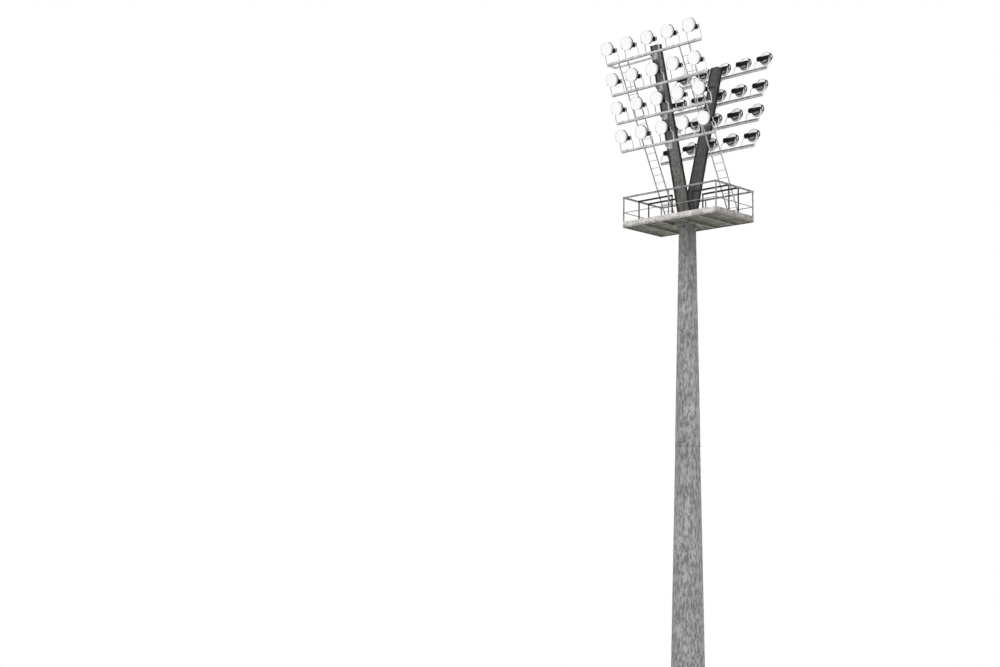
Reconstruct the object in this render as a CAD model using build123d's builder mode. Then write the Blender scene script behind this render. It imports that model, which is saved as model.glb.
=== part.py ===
from build123d import *
import math
import os

os.makedirs("parts", exist_ok=True)

# Stadium floodlight pylon, millimetres.
# The origin is the centre of the foundation plinth's underside.
# X runs along the rows of floodlights, Y across them, Z up.
# The ladder panel faces -Y and the other panel is the same panel turned half a turn about Z.

# Foundation plinth
PLINTH_SIDE = 2280
PLINTH_HEIGHT = 200
PLINTH_CHAMFER = 30

# Mast, three tapered tubes that slip over one another
MAST_HEIGHT = 27570
MAST_WALL = 10
BASE_RADIUS = 750
LOWER_JOINT_RADIUS = 640
HEAD_RADIUS = 330
LOWER_JOINT_RISE = 10300
UPPER_JOINT_RISE = 19000
JOINT_LAP = 900
SLIP_CLEARANCE = 0.5

# Anchor ring round the foot of the mast
FLANGE_RADIUS = 865
FLANGE_BORE = 560
FLANGE_THICKNESS = 50
ANCHOR_RING_HEIGHT = 350
ANCHOR_RING_RADIUS = 815
ANCHOR_RING_THICKNESS = 25
ANCHOR_RIBS = 24
ANCHOR_RIB_THICKNESS = 18

# Head plate between mast and platform
HEAD_PLATE_LENGTH = 1060
HEAD_PLATE_WIDTH = 860
HEAD_PLATE_THICKNESS = 30
HEAD_RIBS = 8
HEAD_RIB_WIDTH = 90
HEAD_RIB_HEIGHT = 260
HEAD_RIB_THICKNESS = 14

# Platform
PLATFORM_LENGTH = 4470
PLATFORM_WIDTH = 2465
EDGE_DEPTH = 100
EDGE_FLANGE = 50
EDGE_PLATE = 6
BEARER_SPACING = 900
BEARER_COUNT = 4
BEARER_FLANGE = 80
BEARER_PLATE = 8
DECK_THICKNESS = 40
DECK_BOARDS = 9
DECK_GAP = 12
TOE_BOARD_THICKNESS = 5
TOE_BOARD_RISE = 100
TOE_BOARD_LAP = 20
FIT_GAP = 0.3

# Guard rails
RAIL_RISE = 1100
RAIL_SECTION = 60
MID_RAIL_RISE = 450
MID_RAIL_SECTION = 25
POST_SECTION = 40
INNER_RAIL_OFFSET = 310
INNER_RAIL_END = 490

# Leaning arms
ARM_LEAN = 15.4
ARM_WIDTH = 340
ARM_DEPTH = 470
ARM_TOP_DEPTH = 290
ARM_PLATE = 20
ARM_WEB = 12
ARM_LIP = 15
ARM_FOOT_OFFSET = 100
ARM_TOP_RISE = 6600
FOOT_PLATE_LENGTH = 1000
FOOT_PLATE_WIDTH = 860
FOOT_PLATE_THICKNESS = 30
CAP_OVERHANG = 12
CAP_THICKNESS = 25
HOOD_LENGTH = 860
HOOD_DEPTH = 60
HOOD_CROWN = 110
HOOD_SIDE = 8
HOOD_ROUND = 100

# Row beams and their brackets
ROW_1_DROP = 336
ROW_2_DROP = 1514
ROW_3_DROP = 2591
ROW_4_DROP = 3678
BEAM_END = 280
BEAM_WIDTH = 90
BEAM_DEPTH = 100
BEAM_PLATE = 6
BEAM_STANDOFF = 70
BRACKET_SPACING = 240
BRACKET_PLATE = 10
BRACKET_DROP = 210
BRACKET_TOE = 40

# Top frame of the ladder panel, and the ladders
TOP_RAIL_SECTION = 60
TIE_WIDTH = 60
TIE_HEIGHT = 90
LADDER_OFFSET = 1477
LADDER_WIDTH = 465
LADDER_TOE_ROOM = 102.5
LADDER_HEAD_ROOM = 130
LADDER_STILE_DEPTH = 60
LADDER_STILE_WIDTH = 20
RUNG_DIAMETER = 22
RUNG_PITCH = 305
FIRST_RUNG_HEIGHT = 240

# Floodlights
LAMPS_PER_ROW = 5
LAMP_SPACING = 990
YOKE_SPAN = 640
YOKE_STRAP = 50
YOKE_PLATE = 6
YOKE_BEND = 24
YOKE_SHOULDER = 75
YOKE_TOP = 66
PIVOT_RISE = 430
LAMP_DIP = 18
LAMP_RAISE = 110
RIM_RADIUS = 262
RIM_DEPTH = 30
RIM_LIP = 14
GLASS_THICKNESS = 8
GLASS_SETBACK = 6
LAMP_REACH = 290
BOWL_WALL_RADIUS = 242
BOWL_WALL_DEPTH = 165
BOWL_STEP_RADIUS = 158
BOWL_STEP_DEPTH = 200
BOWL_BACK_RADIUS = 96
GEAR_BOX_SIDE = 150
GEAR_BOX_FROM = 66
GEAR_BOX_CHAMFER = 16
BAR_HEIGHT = 100
BAR_CHAMFER = 12
QUADRANT_AHEAD = 80
QUADRANT_LIFT = 30
QUADRANT_OUTER = 128
QUADRANT_INNER = 76
QUADRANT_THICKNESS = 12
QUADRANT_FROM = 40
QUADRANT_SPAN = 220
QUADRANT_HUB = 60
QUADRANT_SPOKE = 30

# Heights and faces that follow from the sizes above
mast_foot_z = PLINTH_HEIGHT + FLANGE_THICKNESS
mast_top_z = PLINTH_HEIGHT + MAST_HEIGHT
edge_bottom_z = mast_top_z + HEAD_PLATE_THICKNESS
deck_bottom_z = edge_bottom_z + EDGE_DEPTH
floor_z = deck_bottom_z + DECK_THICKNESS
foot_plate_top_z = deck_bottom_z + FOOT_PLATE_THICKNESS
lean = math.radians(ARM_LEAN)
frame_length = PLATFORM_LENGTH - 2 * TOE_BOARD_THICKNESS
frame_width = PLATFORM_WIDTH - 2 * TOE_BOARD_THICKNESS
row_drops = (ROW_1_DROP, ROW_2_DROP, ROW_3_DROP, ROW_4_DROP)
row_rises = [ARM_TOP_RISE - drop for drop in row_drops]
beam_length = LAMP_SPACING * (LAMPS_PER_ROW - 1) + 2 * BEAM_END
half_turn = Location((0, 0, 0), (0, 0, 180))


def arm_axis_out(rise):
    """Distance of the arm's axis from the pylon's centre plane at a height above the floor."""
    return ARM_FOOT_OFFSET + rise * math.tan(lean)


def arm_face_out(rise):
    """Distance of the arm's outer face from the centre plane at a height above the floor."""
    return arm_axis_out(rise) + ARM_DEPTH / 2 / math.cos(lean)


def leaning_plane(out, height):
    """Plane across an arm: local Z climbs along the arm and local Y points back to the centre."""
    return Plane((0, -out, height), x_dir=(1, 0, 0), z_dir=(0, -math.sin(lean), math.cos(lean)))


def row_plane(rise):
    """Leaning plane with its origin on the centre line of the row beam at this height."""
    standoff = (BEAM_STANDOFF + BEAM_WIDTH / 2) / math.cos(lean)
    return leaning_plane(arm_face_out(rise) + standoff, floor_z + rise)


def lamp_places(rise, dip=0):
    """Pivot centres of the ten floodlights at one level, with their turn and dip."""
    lift = BEAM_DEPTH / 2 + YOKE_PLATE + PIVOT_RISE
    pivot = row_plane(rise).from_local_coords((0, 0, lift))
    first = -LAMP_SPACING * (LAMPS_PER_ROW - 1) / 2
    places = []
    for lamp in range(LAMPS_PER_ROW):
        place = Location((first + lamp * LAMP_SPACING, pivot.Y, pivot.Z), (dip, 0, 0))
        places.append(place)
        places.append(half_turn * place)
    return places


def finish(part, name):
    """Name a finished piece and write it to its file."""
    part.label = name
    export_step(part, f"parts/{name}.step")


# Foundation plinth, a square block with its top edge taken off
with BuildPart() as plinth:
    with BuildSketch():
        Rectangle(PLINTH_SIDE, PLINTH_SIDE)
    extrude(amount=PLINTH_HEIGHT)
    chamfer(plinth.faces().sort_by(Axis.Z)[-1].edges(), PLINTH_CHAMFER)
finish(plinth.part, "foundation_plinth")

# Anchor ring: flange on the plinth, ribs, and an upper ring that they carry
anchor_ring_z = PLINTH_HEIGHT + ANCHOR_RING_HEIGHT
with BuildPart() as anchor_ring:
    with BuildSketch(Plane.XY.offset(PLINTH_HEIGHT)):
        Circle(FLANGE_RADIUS)
        Circle(FLANGE_BORE, mode=Mode.SUBTRACT)
    extrude(amount=FLANGE_THICKNESS)
    with BuildSketch(Plane.XY.offset(anchor_ring_z - ANCHOR_RING_THICKNESS)):
        Circle(ANCHOR_RING_RADIUS)
        Circle(BASE_RADIUS + FIT_GAP, mode=Mode.SUBTRACT)
    extrude(amount=ANCHOR_RING_THICKNESS)
    rib_bottom = PLINTH_HEIGHT + FLANGE_THICKNESS
    rib_top = anchor_ring_z - ANCHOR_RING_THICKNESS
    with BuildSketch(*[Plane.XZ.rotated((0, 0, 360 / ANCHOR_RIBS * n)) for n in range(ANCHOR_RIBS)]):
        with BuildLine():
            Polyline(
                (BASE_RADIUS + FIT_GAP, rib_bottom),
                (FLANGE_RADIUS, rib_bottom),
                (ANCHOR_RING_RADIUS, rib_top),
                (BASE_RADIUS + FIT_GAP, rib_top),
                close=True,
            )
        make_face()
    extrude(amount=ANCHOR_RIB_THICKNESS / 2, both=True)
finish(anchor_ring.part, "mast_anchor_ring")

# Mast tubes. Each lower tube narrows inside the one above it over the lap.
lower_joint_z = PLINTH_HEIGHT + LOWER_JOINT_RISE
upper_joint_z = PLINTH_HEIGHT + UPPER_JOINT_RISE
upper_taper = (LOWER_JOINT_RADIUS - HEAD_RADIUS) / (mast_top_z - lower_joint_z)
upper_joint_radius = LOWER_JOINT_RADIUS - upper_taper * (upper_joint_z - lower_joint_z)
step = MAST_WALL + SLIP_CLEARANCE
middle_top_radius = upper_joint_radius - step
middle_taper = (LOWER_JOINT_RADIUS - middle_top_radius) / (upper_joint_z - lower_joint_z)


def mast_tube(points):
    """Half section of one tapered tube, from its outer line to its bore."""
    bore = [(radius - MAST_WALL, height) for radius, height in reversed(points)]
    return points + bore


with BuildPart() as mast_lower:
    with BuildSketch(Plane.XZ):
        with BuildLine():
            Polyline(
                *mast_tube(
                    [
                        (BASE_RADIUS, mast_foot_z),
                        (LOWER_JOINT_RADIUS - step, lower_joint_z),
                        (LOWER_JOINT_RADIUS - step - middle_taper * JOINT_LAP, lower_joint_z + JOINT_LAP),
                    ]
                ),
                close=True,
            )
        make_face()
    revolve(axis=Axis.Z)
finish(mast_lower.part, "mast_lower_tube")

with BuildPart() as mast_middle:
    with BuildSketch(Plane.XZ):
        with BuildLine():
            Polyline(
                *mast_tube(
                    [
                        (LOWER_JOINT_RADIUS, lower_joint_z),
                        (middle_top_radius, upper_joint_z),
                        (middle_top_radius - upper_taper * JOINT_LAP, upper_joint_z + JOINT_LAP),
                    ]
                ),
                close=True,
            )
        make_face()
    revolve(axis=Axis.Z)
finish(mast_middle.part, "mast_middle_tube")

with BuildPart() as mast_upper:
    with BuildSketch(Plane.XZ):
        with BuildLine():
            Polyline(
                *mast_tube([(upper_joint_radius, upper_joint_z), (HEAD_RADIUS, mast_top_z)]),
                close=True,
            )
        make_face()
    revolve(axis=Axis.Z)
finish(mast_upper.part, "mast_upper_tube")

# Head plate with ribs down the mast
with BuildPart() as mast_head:
    with BuildSketch(Plane.XY.offset(mast_top_z)):
        Rectangle(HEAD_PLATE_LENGTH, HEAD_PLATE_WIDTH)
    extrude(amount=HEAD_PLATE_THICKNESS)
    rib_foot_radius = HEAD_RADIUS + upper_taper * HEAD_RIB_HEIGHT + FIT_GAP
    with BuildSketch(*[Plane.XZ.rotated((0, 0, 360 / HEAD_RIBS * n)) for n in range(HEAD_RIBS)]):
        with BuildLine():
            Polyline(
                (HEAD_RADIUS + FIT_GAP, mast_top_z),
                (HEAD_RADIUS + HEAD_RIB_WIDTH, mast_top_z),
                (rib_foot_radius, mast_top_z - HEAD_RIB_HEIGHT),
                close=True,
            )
        make_face()
    extrude(amount=HEAD_RIB_THICKNESS / 2, both=True)
finish(mast_head.part, "mast_head_plate")

# Edge channels of the platform, webs outward: two long ones with the end ones between them
end_channel_length = frame_width - 2 * EDGE_FLANGE - 2 * FIT_GAP
with BuildPart() as edge_channels:
    with BuildSketch(Plane.YZ.offset(-frame_length / 2)):
        with Locations((0, edge_bottom_z + EDGE_DEPTH / 2)):
            Rectangle(frame_width, EDGE_DEPTH)
            Rectangle(frame_width - 2 * EDGE_PLATE, EDGE_DEPTH - 2 * EDGE_PLATE, mode=Mode.SUBTRACT)
            Rectangle(frame_width - 2 * EDGE_FLANGE, EDGE_DEPTH, mode=Mode.SUBTRACT)
    extrude(amount=frame_length)
    with BuildSketch(Plane.XZ.offset(-end_channel_length / 2)):
        with Locations((0, edge_bottom_z + EDGE_DEPTH / 2)):
            Rectangle(frame_length, EDGE_DEPTH)
            Rectangle(frame_length - 2 * EDGE_PLATE, EDGE_DEPTH - 2 * EDGE_PLATE, mode=Mode.SUBTRACT)
            Rectangle(frame_length - 2 * EDGE_FLANGE, EDGE_DEPTH, mode=Mode.SUBTRACT)
    extrude(amount=end_channel_length)
finish(edge_channels.part, "platform_edge_channels")

# Bearers across the platform. Their webs reach into the edge channels, their flanges stop short.
with BuildPart() as bearers:
    with BuildSketch(Plane.XZ.offset(-(frame_width / 2 - EDGE_FLANGE))):
        with Locations((0, edge_bottom_z + EDGE_DEPTH / 2)):
            with GridLocations(BEARER_SPACING, 0, BEARER_COUNT, 1):
                Rectangle(BEARER_FLANGE, EDGE_DEPTH)
                with Locations(
                    ((BEARER_FLANGE + EDGE_PLATE) / 4, 0),
                    (-(BEARER_FLANGE + EDGE_PLATE) / 4, 0),
                ):
                    Rectangle(
                        (BEARER_FLANGE - EDGE_PLATE) / 2,
                        EDGE_DEPTH - 2 * BEARER_PLATE,
                        mode=Mode.SUBTRACT,
                    )
    extrude(amount=frame_width - 2 * EDGE_FLANGE)
    with BuildSketch(Plane.XZ.offset(-(frame_width / 2 - EDGE_PLATE - FIT_GAP))):
        with Locations((0, edge_bottom_z + EDGE_DEPTH / 2)):
            with GridLocations(BEARER_SPACING, 0, BEARER_COUNT, 1):
                Rectangle(EDGE_PLATE, EDGE_DEPTH - 2 * EDGE_PLATE - 2 * FIT_GAP)
    extrude(amount=frame_width - 2 * EDGE_PLATE - 2 * FIT_GAP)
finish(bearers.part, "platform_bearers")

# Deck boards along the platform, open round the foot of the arms
board_pitch = frame_width / DECK_BOARDS
with BuildPart() as deck:
    with BuildSketch(Plane.XY.offset(deck_bottom_z)):
        with GridLocations(0, board_pitch, 1, DECK_BOARDS):
            Rectangle(frame_length, board_pitch - DECK_GAP)
        Rectangle(
            FOOT_PLATE_LENGTH + 2 * DECK_GAP,
            FOOT_PLATE_WIDTH + 2 * DECK_GAP,
            mode=Mode.SUBTRACT,
        )
    extrude(amount=DECK_THICKNESS)
finish(deck.part, "platform_deck_boards")

# Toe boards on the outside of the edge channels, the short ones between the long ones
toe_bottom_z = deck_bottom_z - TOE_BOARD_LAP
with BuildPart() as toe_boards:
    with BuildSketch(Plane.XY.offset(toe_bottom_z)):
        with GridLocations(0, PLATFORM_WIDTH - TOE_BOARD_THICKNESS, 1, 2):
            Rectangle(PLATFORM_LENGTH, TOE_BOARD_THICKNESS)
        with GridLocations(PLATFORM_LENGTH - TOE_BOARD_THICKNESS, 0, 2, 1):
            Rectangle(TOE_BOARD_THICKNESS, frame_width - 2 * FIT_GAP)
    extrude(amount=floor_z + TOE_BOARD_RISE - toe_bottom_z)
finish(toe_boards.part, "platform_toe_boards")

# Guard rails along the long sides: top rail, mid rail and three posts just inside the toe board
rail_length = frame_length - POST_SECTION
rail_width = frame_width - POST_SECTION
post_height = RAIL_RISE - RAIL_SECTION
with BuildPart() as long_rails:
    with BuildSketch(Plane.XY.offset(floor_z)):
        with GridLocations(rail_length / 2, rail_width, 3, 2):
            Rectangle(POST_SECTION, POST_SECTION)
    extrude(amount=post_height)
    with BuildSketch(Plane.XY.offset(floor_z + post_height)):
        with GridLocations(0, rail_width, 1, 2):
            Rectangle(rail_length + RAIL_SECTION, RAIL_SECTION)
    extrude(amount=RAIL_SECTION)
    with BuildSketch(Plane.XY.offset(floor_z + MID_RAIL_RISE)):
        with GridLocations(0, rail_width, 1, 2):
            Rectangle(rail_length, MID_RAIL_SECTION)
    extrude(amount=MID_RAIL_SECTION)
finish(long_rails.part, "guard_rails_long_sides")

# Guard rails along the short sides, between the corner posts
with BuildPart() as short_rails:
    with BuildSketch(Plane.XY.offset(floor_z + post_height)):
        with GridLocations(rail_length, 0, 2, 1):
            Rectangle(RAIL_SECTION, rail_width - RAIL_SECTION - 2 * FIT_GAP)
    extrude(amount=RAIL_SECTION)
    with BuildSketch(Plane.XY.offset(floor_z + MID_RAIL_RISE)):
        with GridLocations(rail_length, 0, 2, 1):
            Rectangle(MID_RAIL_SECTION, rail_width - POST_SECTION - 2 * FIT_GAP)
    extrude(amount=MID_RAIL_SECTION)
finish(short_rails.part, "guard_rails_short_sides")

# Inner guard rails from each short side to the arms, with a post at either end
inner_rail_start = rail_length / 2 - RAIL_SECTION / 2 - FIT_GAP
inner_rail_length = inner_rail_start - INNER_RAIL_END
inner_centre = (inner_rail_start + INNER_RAIL_END) / 2
with BuildPart() as inner_rails:
    with BuildSketch(Plane.XY.offset(floor_z + post_height)):
        with GridLocations(2 * inner_centre, 2 * INNER_RAIL_OFFSET, 2, 2):
            Rectangle(inner_rail_length, RAIL_SECTION)
    extrude(amount=RAIL_SECTION)
    with BuildSketch(Plane.XY.offset(floor_z)):
        with GridLocations(2 * INNER_RAIL_END + POST_SECTION, 2 * INNER_RAIL_OFFSET, 2, 2):
            Rectangle(POST_SECTION, POST_SECTION)
        with GridLocations(2 * inner_rail_start - POST_SECTION, 2 * INNER_RAIL_OFFSET, 2, 2):
            Rectangle(POST_SECTION, POST_SECTION)
    extrude(amount=post_height)
finish(inner_rails.part, "inner_guard_rails")

# Foot plate of the arms, on the two middle bearers
with BuildPart() as foot_plate:
    with BuildSketch(Plane.XY.offset(deck_bottom_z)):
        Rectangle(FOOT_PLATE_LENGTH, FOOT_PLATE_WIDTH)
    extrude(amount=FOOT_PLATE_THICKNESS)
finish(foot_plate.part, "arm_foot_plate")

# Leaning arm: a welded box with lipped plates, its outer face straight and its depth tapering.
# It is mitred against its twin and cut square at the top.
arm_run = (ARM_TOP_RISE + DECK_THICKNESS + ARM_DEPTH) / math.cos(lean)
arm_taper = (ARM_DEPTH - ARM_TOP_DEPTH) / (ARM_TOP_RISE / math.cos(lean))
arm_top_plane = leaning_plane(arm_axis_out(ARM_TOP_RISE), floor_z + ARM_TOP_RISE)
web_middle = (ARM_WIDTH - ARM_LIP) / 2
arm_cuts = (
    (ARM_WIDTH, 0, 0, Mode.ADD),
    (ARM_WIDTH - 2 * ARM_LIP - 2 * ARM_WEB, ARM_PLATE, 0, Mode.SUBTRACT),
    (ARM_LIP, ARM_PLATE, web_middle, Mode.SUBTRACT),
    (ARM_LIP, ARM_PLATE, -web_middle, Mode.SUBTRACT),
)
with BuildPart() as arm_near:
    for width, plate, aside, mode in arm_cuts:
        for down in (0, arm_run):
            depth = ARM_TOP_DEPTH + down * arm_taper
            with BuildSketch(arm_top_plane.offset(-down)):
                with Locations((aside, (depth - ARM_DEPTH) / 2)):
                    Rectangle(width, depth - 2 * plate)
        loft(ruled=True, mode=mode)
    split(bisect_by=Plane.XY.offset(foot_plate_top_z), keep=Keep.TOP)
    split(bisect_by=Plane.XZ, keep=Keep.TOP)
finish(arm_near.part, "arm_near")

with BuildPart() as arm_far:
    add(arm_near.part.moved(half_turn))
finish(arm_far.part, "arm_far")

# Flat cap on the near arm
with BuildPart() as arm_cap:
    with BuildSketch(arm_top_plane):
        with Locations((0, (ARM_TOP_DEPTH - ARM_DEPTH) / 2)):
            Rectangle(ARM_WIDTH + 2 * CAP_OVERHANG, ARM_TOP_DEPTH + 2 * CAP_OVERHANG)
    extrude(amount=CAP_THICKNESS)
finish(arm_cap.part, "arm_near_cap")

# Rounded hood over the top and back of the far arm
hood_width = ARM_WIDTH + 2 * HOOD_SIDE
hood_front = -ARM_DEPTH / 2
hood_back = hood_front + ARM_TOP_DEPTH
hood_skirt = hood_back + HOOD_LENGTH * arm_taper
hood_side_plane = Plane(
    arm_top_plane.from_local_coords((-hood_width / 2, 0, 0)),
    x_dir=arm_top_plane.y_dir,
    z_dir=arm_top_plane.x_dir,
)
with BuildPart() as hood:
    with BuildSketch(Plane(half_turn * hood_side_plane.location)):
        with BuildLine():
            Polyline(
                (hood_skirt + FIT_GAP, -HOOD_LENGTH),
                (hood_skirt + HOOD_DEPTH, -HOOD_LENGTH),
                (hood_back + HOOD_DEPTH, HOOD_CROWN),
                (hood_front, HOOD_CROWN),
                (hood_front, FIT_GAP),
                (hood_back + FIT_GAP, FIT_GAP),
                close=True,
            )
        make_face()
    extrude(amount=hood_width)
    fillet(hood.faces().sort_by(Axis.Z)[-1].edges(), HOOD_ROUND)
finish(hood.part, "arm_far_hood")

# Row beams: channels parallel to the arms, open side to the arms
for row, rise in enumerate(row_rises, start=1):
    across = row_plane(rise)
    beam_section = Plane(
        across.from_local_coords((-beam_length / 2, 0, 0)), x_dir=across.y_dir, z_dir=across.x_dir
    )
    with BuildPart() as beams:
        with BuildSketch(beam_section, Plane(half_turn * beam_section.location)):
            Rectangle(BEAM_WIDTH, BEAM_DEPTH)
            with Locations((BEAM_PLATE / 2, 0)):
                Rectangle(BEAM_WIDTH - BEAM_PLATE, BEAM_DEPTH - 2 * BEAM_PLATE, mode=Mode.SUBTRACT)
        extrude(amount=beam_length)
    finish(beams.part, f"row_{row}_beams")

# Brackets under the row beams: a back plate on the arm's face and two gussets
bracket_backs = []
bracket_gussets = []
for rise in row_rises:
    across = row_plane(rise)
    back = across.offset(-BEAM_DEPTH / 2 - BRACKET_DROP)
    bracket_backs += [back, Plane(half_turn * back.location)]
    for side in (-1, 1):
        gusset = Plane(
            across.from_local_coords((side * BRACKET_SPACING / 2, 0, 0)),
            x_dir=across.y_dir,
            z_dir=across.x_dir,
        )
        bracket_gussets += [gusset, Plane(half_turn * gusset.location)]
arm_face = BEAM_STANDOFF + BEAM_WIDTH / 2
half_depth = BEAM_DEPTH / 2
with BuildPart() as brackets:
    with BuildSketch(*bracket_backs):
        with Locations((0, arm_face - BRACKET_PLATE / 2)):
            Rectangle(BRACKET_SPACING + BRACKET_TOE, BRACKET_PLATE)
    extrude(amount=BEAM_DEPTH + BRACKET_DROP)
    with BuildSketch(*bracket_gussets):
        with BuildLine():
            Polyline(
                (arm_face, -half_depth - BRACKET_DROP),
                (arm_face, half_depth),
                (BEAM_WIDTH / 2 + FIT_GAP, half_depth),
                (BEAM_WIDTH / 2 + FIT_GAP, -half_depth),
                (-BEAM_WIDTH / 2, -half_depth),
                (-BEAM_WIDTH / 2, -half_depth - BRACKET_TOE),
                close=True,
            )
        make_face()
    extrude(amount=BRACKET_PLATE / 2, both=True)
finish(brackets.part, "row_brackets")

# Top frame of the ladder panel: a level rail on the arm's back, tied to the end of the top beam
top_row = row_plane(row_rises[0])
back_lean = lean + math.atan(arm_taper)
arm_back_top = arm_top_plane.from_local_coords((0, ARM_TOP_DEPTH - ARM_DEPTH / 2, 0))
top_rail_z = floor_z + row_rises[0]
drop_to_rail = arm_back_top.Z - (top_rail_z - TOP_RAIL_SECTION / 2)
top_rail_front = arm_back_top.Y + drop_to_rail * math.tan(back_lean) + FIT_GAP
tie_front = top_row.from_local_coords((0, BEAM_WIDTH / 2, -BEAM_DEPTH / 2)).Y + FIT_GAP
tie_length = top_rail_front - FIT_GAP - tie_front
with BuildPart() as top_frame:
    with BuildSketch(Plane.YZ.offset(-beam_length / 2)):
        with Locations((top_rail_front + TOP_RAIL_SECTION / 2, top_rail_z)):
            Rectangle(TOP_RAIL_SECTION, TOP_RAIL_SECTION)
    extrude(amount=beam_length / 2 + ARM_WIDTH / 2 - TOP_RAIL_SECTION)
    with BuildSketch(Plane.YZ.offset(-beam_length / 2)):
        with Locations((tie_front + tie_length / 2, top_rail_z)):
            Rectangle(tie_length, TIE_HEIGHT)
    extrude(amount=TIE_WIDTH)
finish(top_frame.part, "top_frame")

# Ladders from the deck up to the underside of the top beam, their heads cut to lie against it
ladder_head_plane = top_row.offset(-BEAM_DEPTH / 2 - FIT_GAP)
ladder_foot = PLATFORM_WIDTH / 2 - LADDER_TOE_ROOM
ladder_run = ladder_foot - ladder_head_plane.origin.Y
ladder_rise = ladder_head_plane.origin.Z - floor_z
ladder_slope = math.atan2(ladder_run, ladder_rise)
ladder_length = math.hypot(ladder_run, ladder_rise)
ladder_up = (0, -math.sin(ladder_slope), math.cos(ladder_slope))
rung_count = int((ladder_length - FIRST_RUNG_HEIGHT - LADDER_HEAD_ROOM) / RUNG_PITCH) + 1
for name, middle in (("ladder_left", -LADDER_OFFSET), ("ladder_right", LADDER_OFFSET)):
    ladder_plane = Plane((middle, ladder_foot, floor_z), x_dir=(1, 0, 0), z_dir=ladder_up)
    rung_start = Plane(
        ladder_plane.from_local_coords((-LADDER_WIDTH / 2, 0, 0)),
        x_dir=ladder_plane.y_dir,
        z_dir=ladder_plane.x_dir,
    )
    with BuildPart() as ladder:
        with BuildSketch(ladder_plane.offset(-LADDER_STILE_DEPTH)):
            with GridLocations(LADDER_WIDTH - LADDER_STILE_WIDTH, 0, 2, 1):
                Rectangle(LADDER_STILE_WIDTH, LADDER_STILE_DEPTH)
        extrude(amount=ladder_length + 2 * LADDER_STILE_DEPTH)
        with BuildSketch(rung_start):
            with Locations(*[(0, FIRST_RUNG_HEIGHT + n * RUNG_PITCH) for n in range(rung_count)]):
                Circle(RUNG_DIAMETER / 2)
        extrude(amount=LADDER_WIDTH)
        split(bisect_by=Plane.XY.offset(floor_z), keep=Keep.TOP)
        split(bisect_by=ladder_head_plane, keep=Keep.BOTTOM)
    finish(ladder.part, name)

# Lamp forms, each about its pivot centre with the beam of light along -Y.
# The bowl's axis runs above the pivot, and its back lies against the bar that carries it.
bowl_back = GEAR_BOX_SIDE / 2 + FIT_GAP
glass_seat = LAMP_REACH - GLASS_SETBACK - GLASS_THICKNESS
with BuildPart() as bowl_form:
    with BuildSketch(Plane.XY.offset(LAMP_RAISE)):
        with BuildLine():
            Polyline(
                (0, -glass_seat),
                (RIM_RADIUS - RIM_LIP, -glass_seat),
                (RIM_RADIUS - RIM_LIP, -LAMP_REACH),
                (RIM_RADIUS, -LAMP_REACH),
                (RIM_RADIUS, -LAMP_REACH + RIM_DEPTH),
                (BOWL_WALL_RADIUS, -LAMP_REACH + RIM_DEPTH),
                (BOWL_WALL_RADIUS, -LAMP_REACH + BOWL_WALL_DEPTH),
                (BOWL_STEP_RADIUS, -LAMP_REACH + BOWL_STEP_DEPTH),
                (BOWL_BACK_RADIUS, -bowl_back),
                (0, -bowl_back),
                close=True,
            )
        make_face()
    revolve(axis=Axis((0, 0, LAMP_RAISE), (0, 1, 0)))

with BuildPart() as glass_form:
    with BuildSketch(Plane.XZ.offset(glass_seat + FIT_GAP)):
        with Locations((0, LAMP_RAISE)):
            Circle(RIM_RADIUS - RIM_LIP - FIT_GAP)
    extrude(amount=GLASS_THICKNESS - FIT_GAP)

# Gear box on the side of the bent yoke leg, and the bar behind the bowl to the straight leg
straight_leg_inside = YOKE_SPAN / 2 - YOKE_PLATE - FIT_GAP
bent_leg_inside = straight_leg_inside - YOKE_SHOULDER
with BuildPart() as gear_box_form:
    with BuildSketch(Plane.YZ.offset(-straight_leg_inside)):
        Rectangle(GEAR_BOX_SIDE, BAR_HEIGHT)
        chamfer(vertices(), BAR_CHAMFER)
    extrude(amount=straight_leg_inside + GEAR_BOX_FROM)
    with BuildSketch(Plane.YZ.offset(GEAR_BOX_FROM)):
        Rectangle(GEAR_BOX_SIDE, GEAR_BOX_SIDE)
        chamfer(vertices(), GEAR_BOX_CHAMFER)
    extrude(amount=bent_leg_inside - GEAR_BOX_FROM)

# Aiming quadrant: a hooked plate outside the straight leg, on a spoke from the pivot
with BuildPart() as quadrant_form:
    with BuildSketch(Plane.YZ.offset(-YOKE_SPAN / 2 - FIT_GAP)):
        with BuildLine():
            hook_centre = (-QUADRANT_AHEAD, QUADRANT_LIFT)
            outer_arc = CenterArc(hook_centre, QUADRANT_OUTER, QUADRANT_FROM, QUADRANT_SPAN)
            inner_arc = CenterArc(hook_centre, QUADRANT_INNER, QUADRANT_FROM, QUADRANT_SPAN)
            Line(outer_arc @ 0, inner_arc @ 0)
            Line(outer_arc @ 1, inner_arc @ 1)
        make_face()
        Circle(QUADRANT_HUB / 2)
        spoke_end = ((outer_arc @ 0) + (inner_arc @ 0)) / 2
        with Locations(Location((0, 0), math.degrees(math.atan2(spoke_end.Y, spoke_end.X)))):
            with Locations((spoke_end.length / 2, 0)):
                Rectangle(spoke_end.length, QUADRANT_SPOKE)
    extrude(amount=-QUADRANT_THICKNESS)

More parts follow.
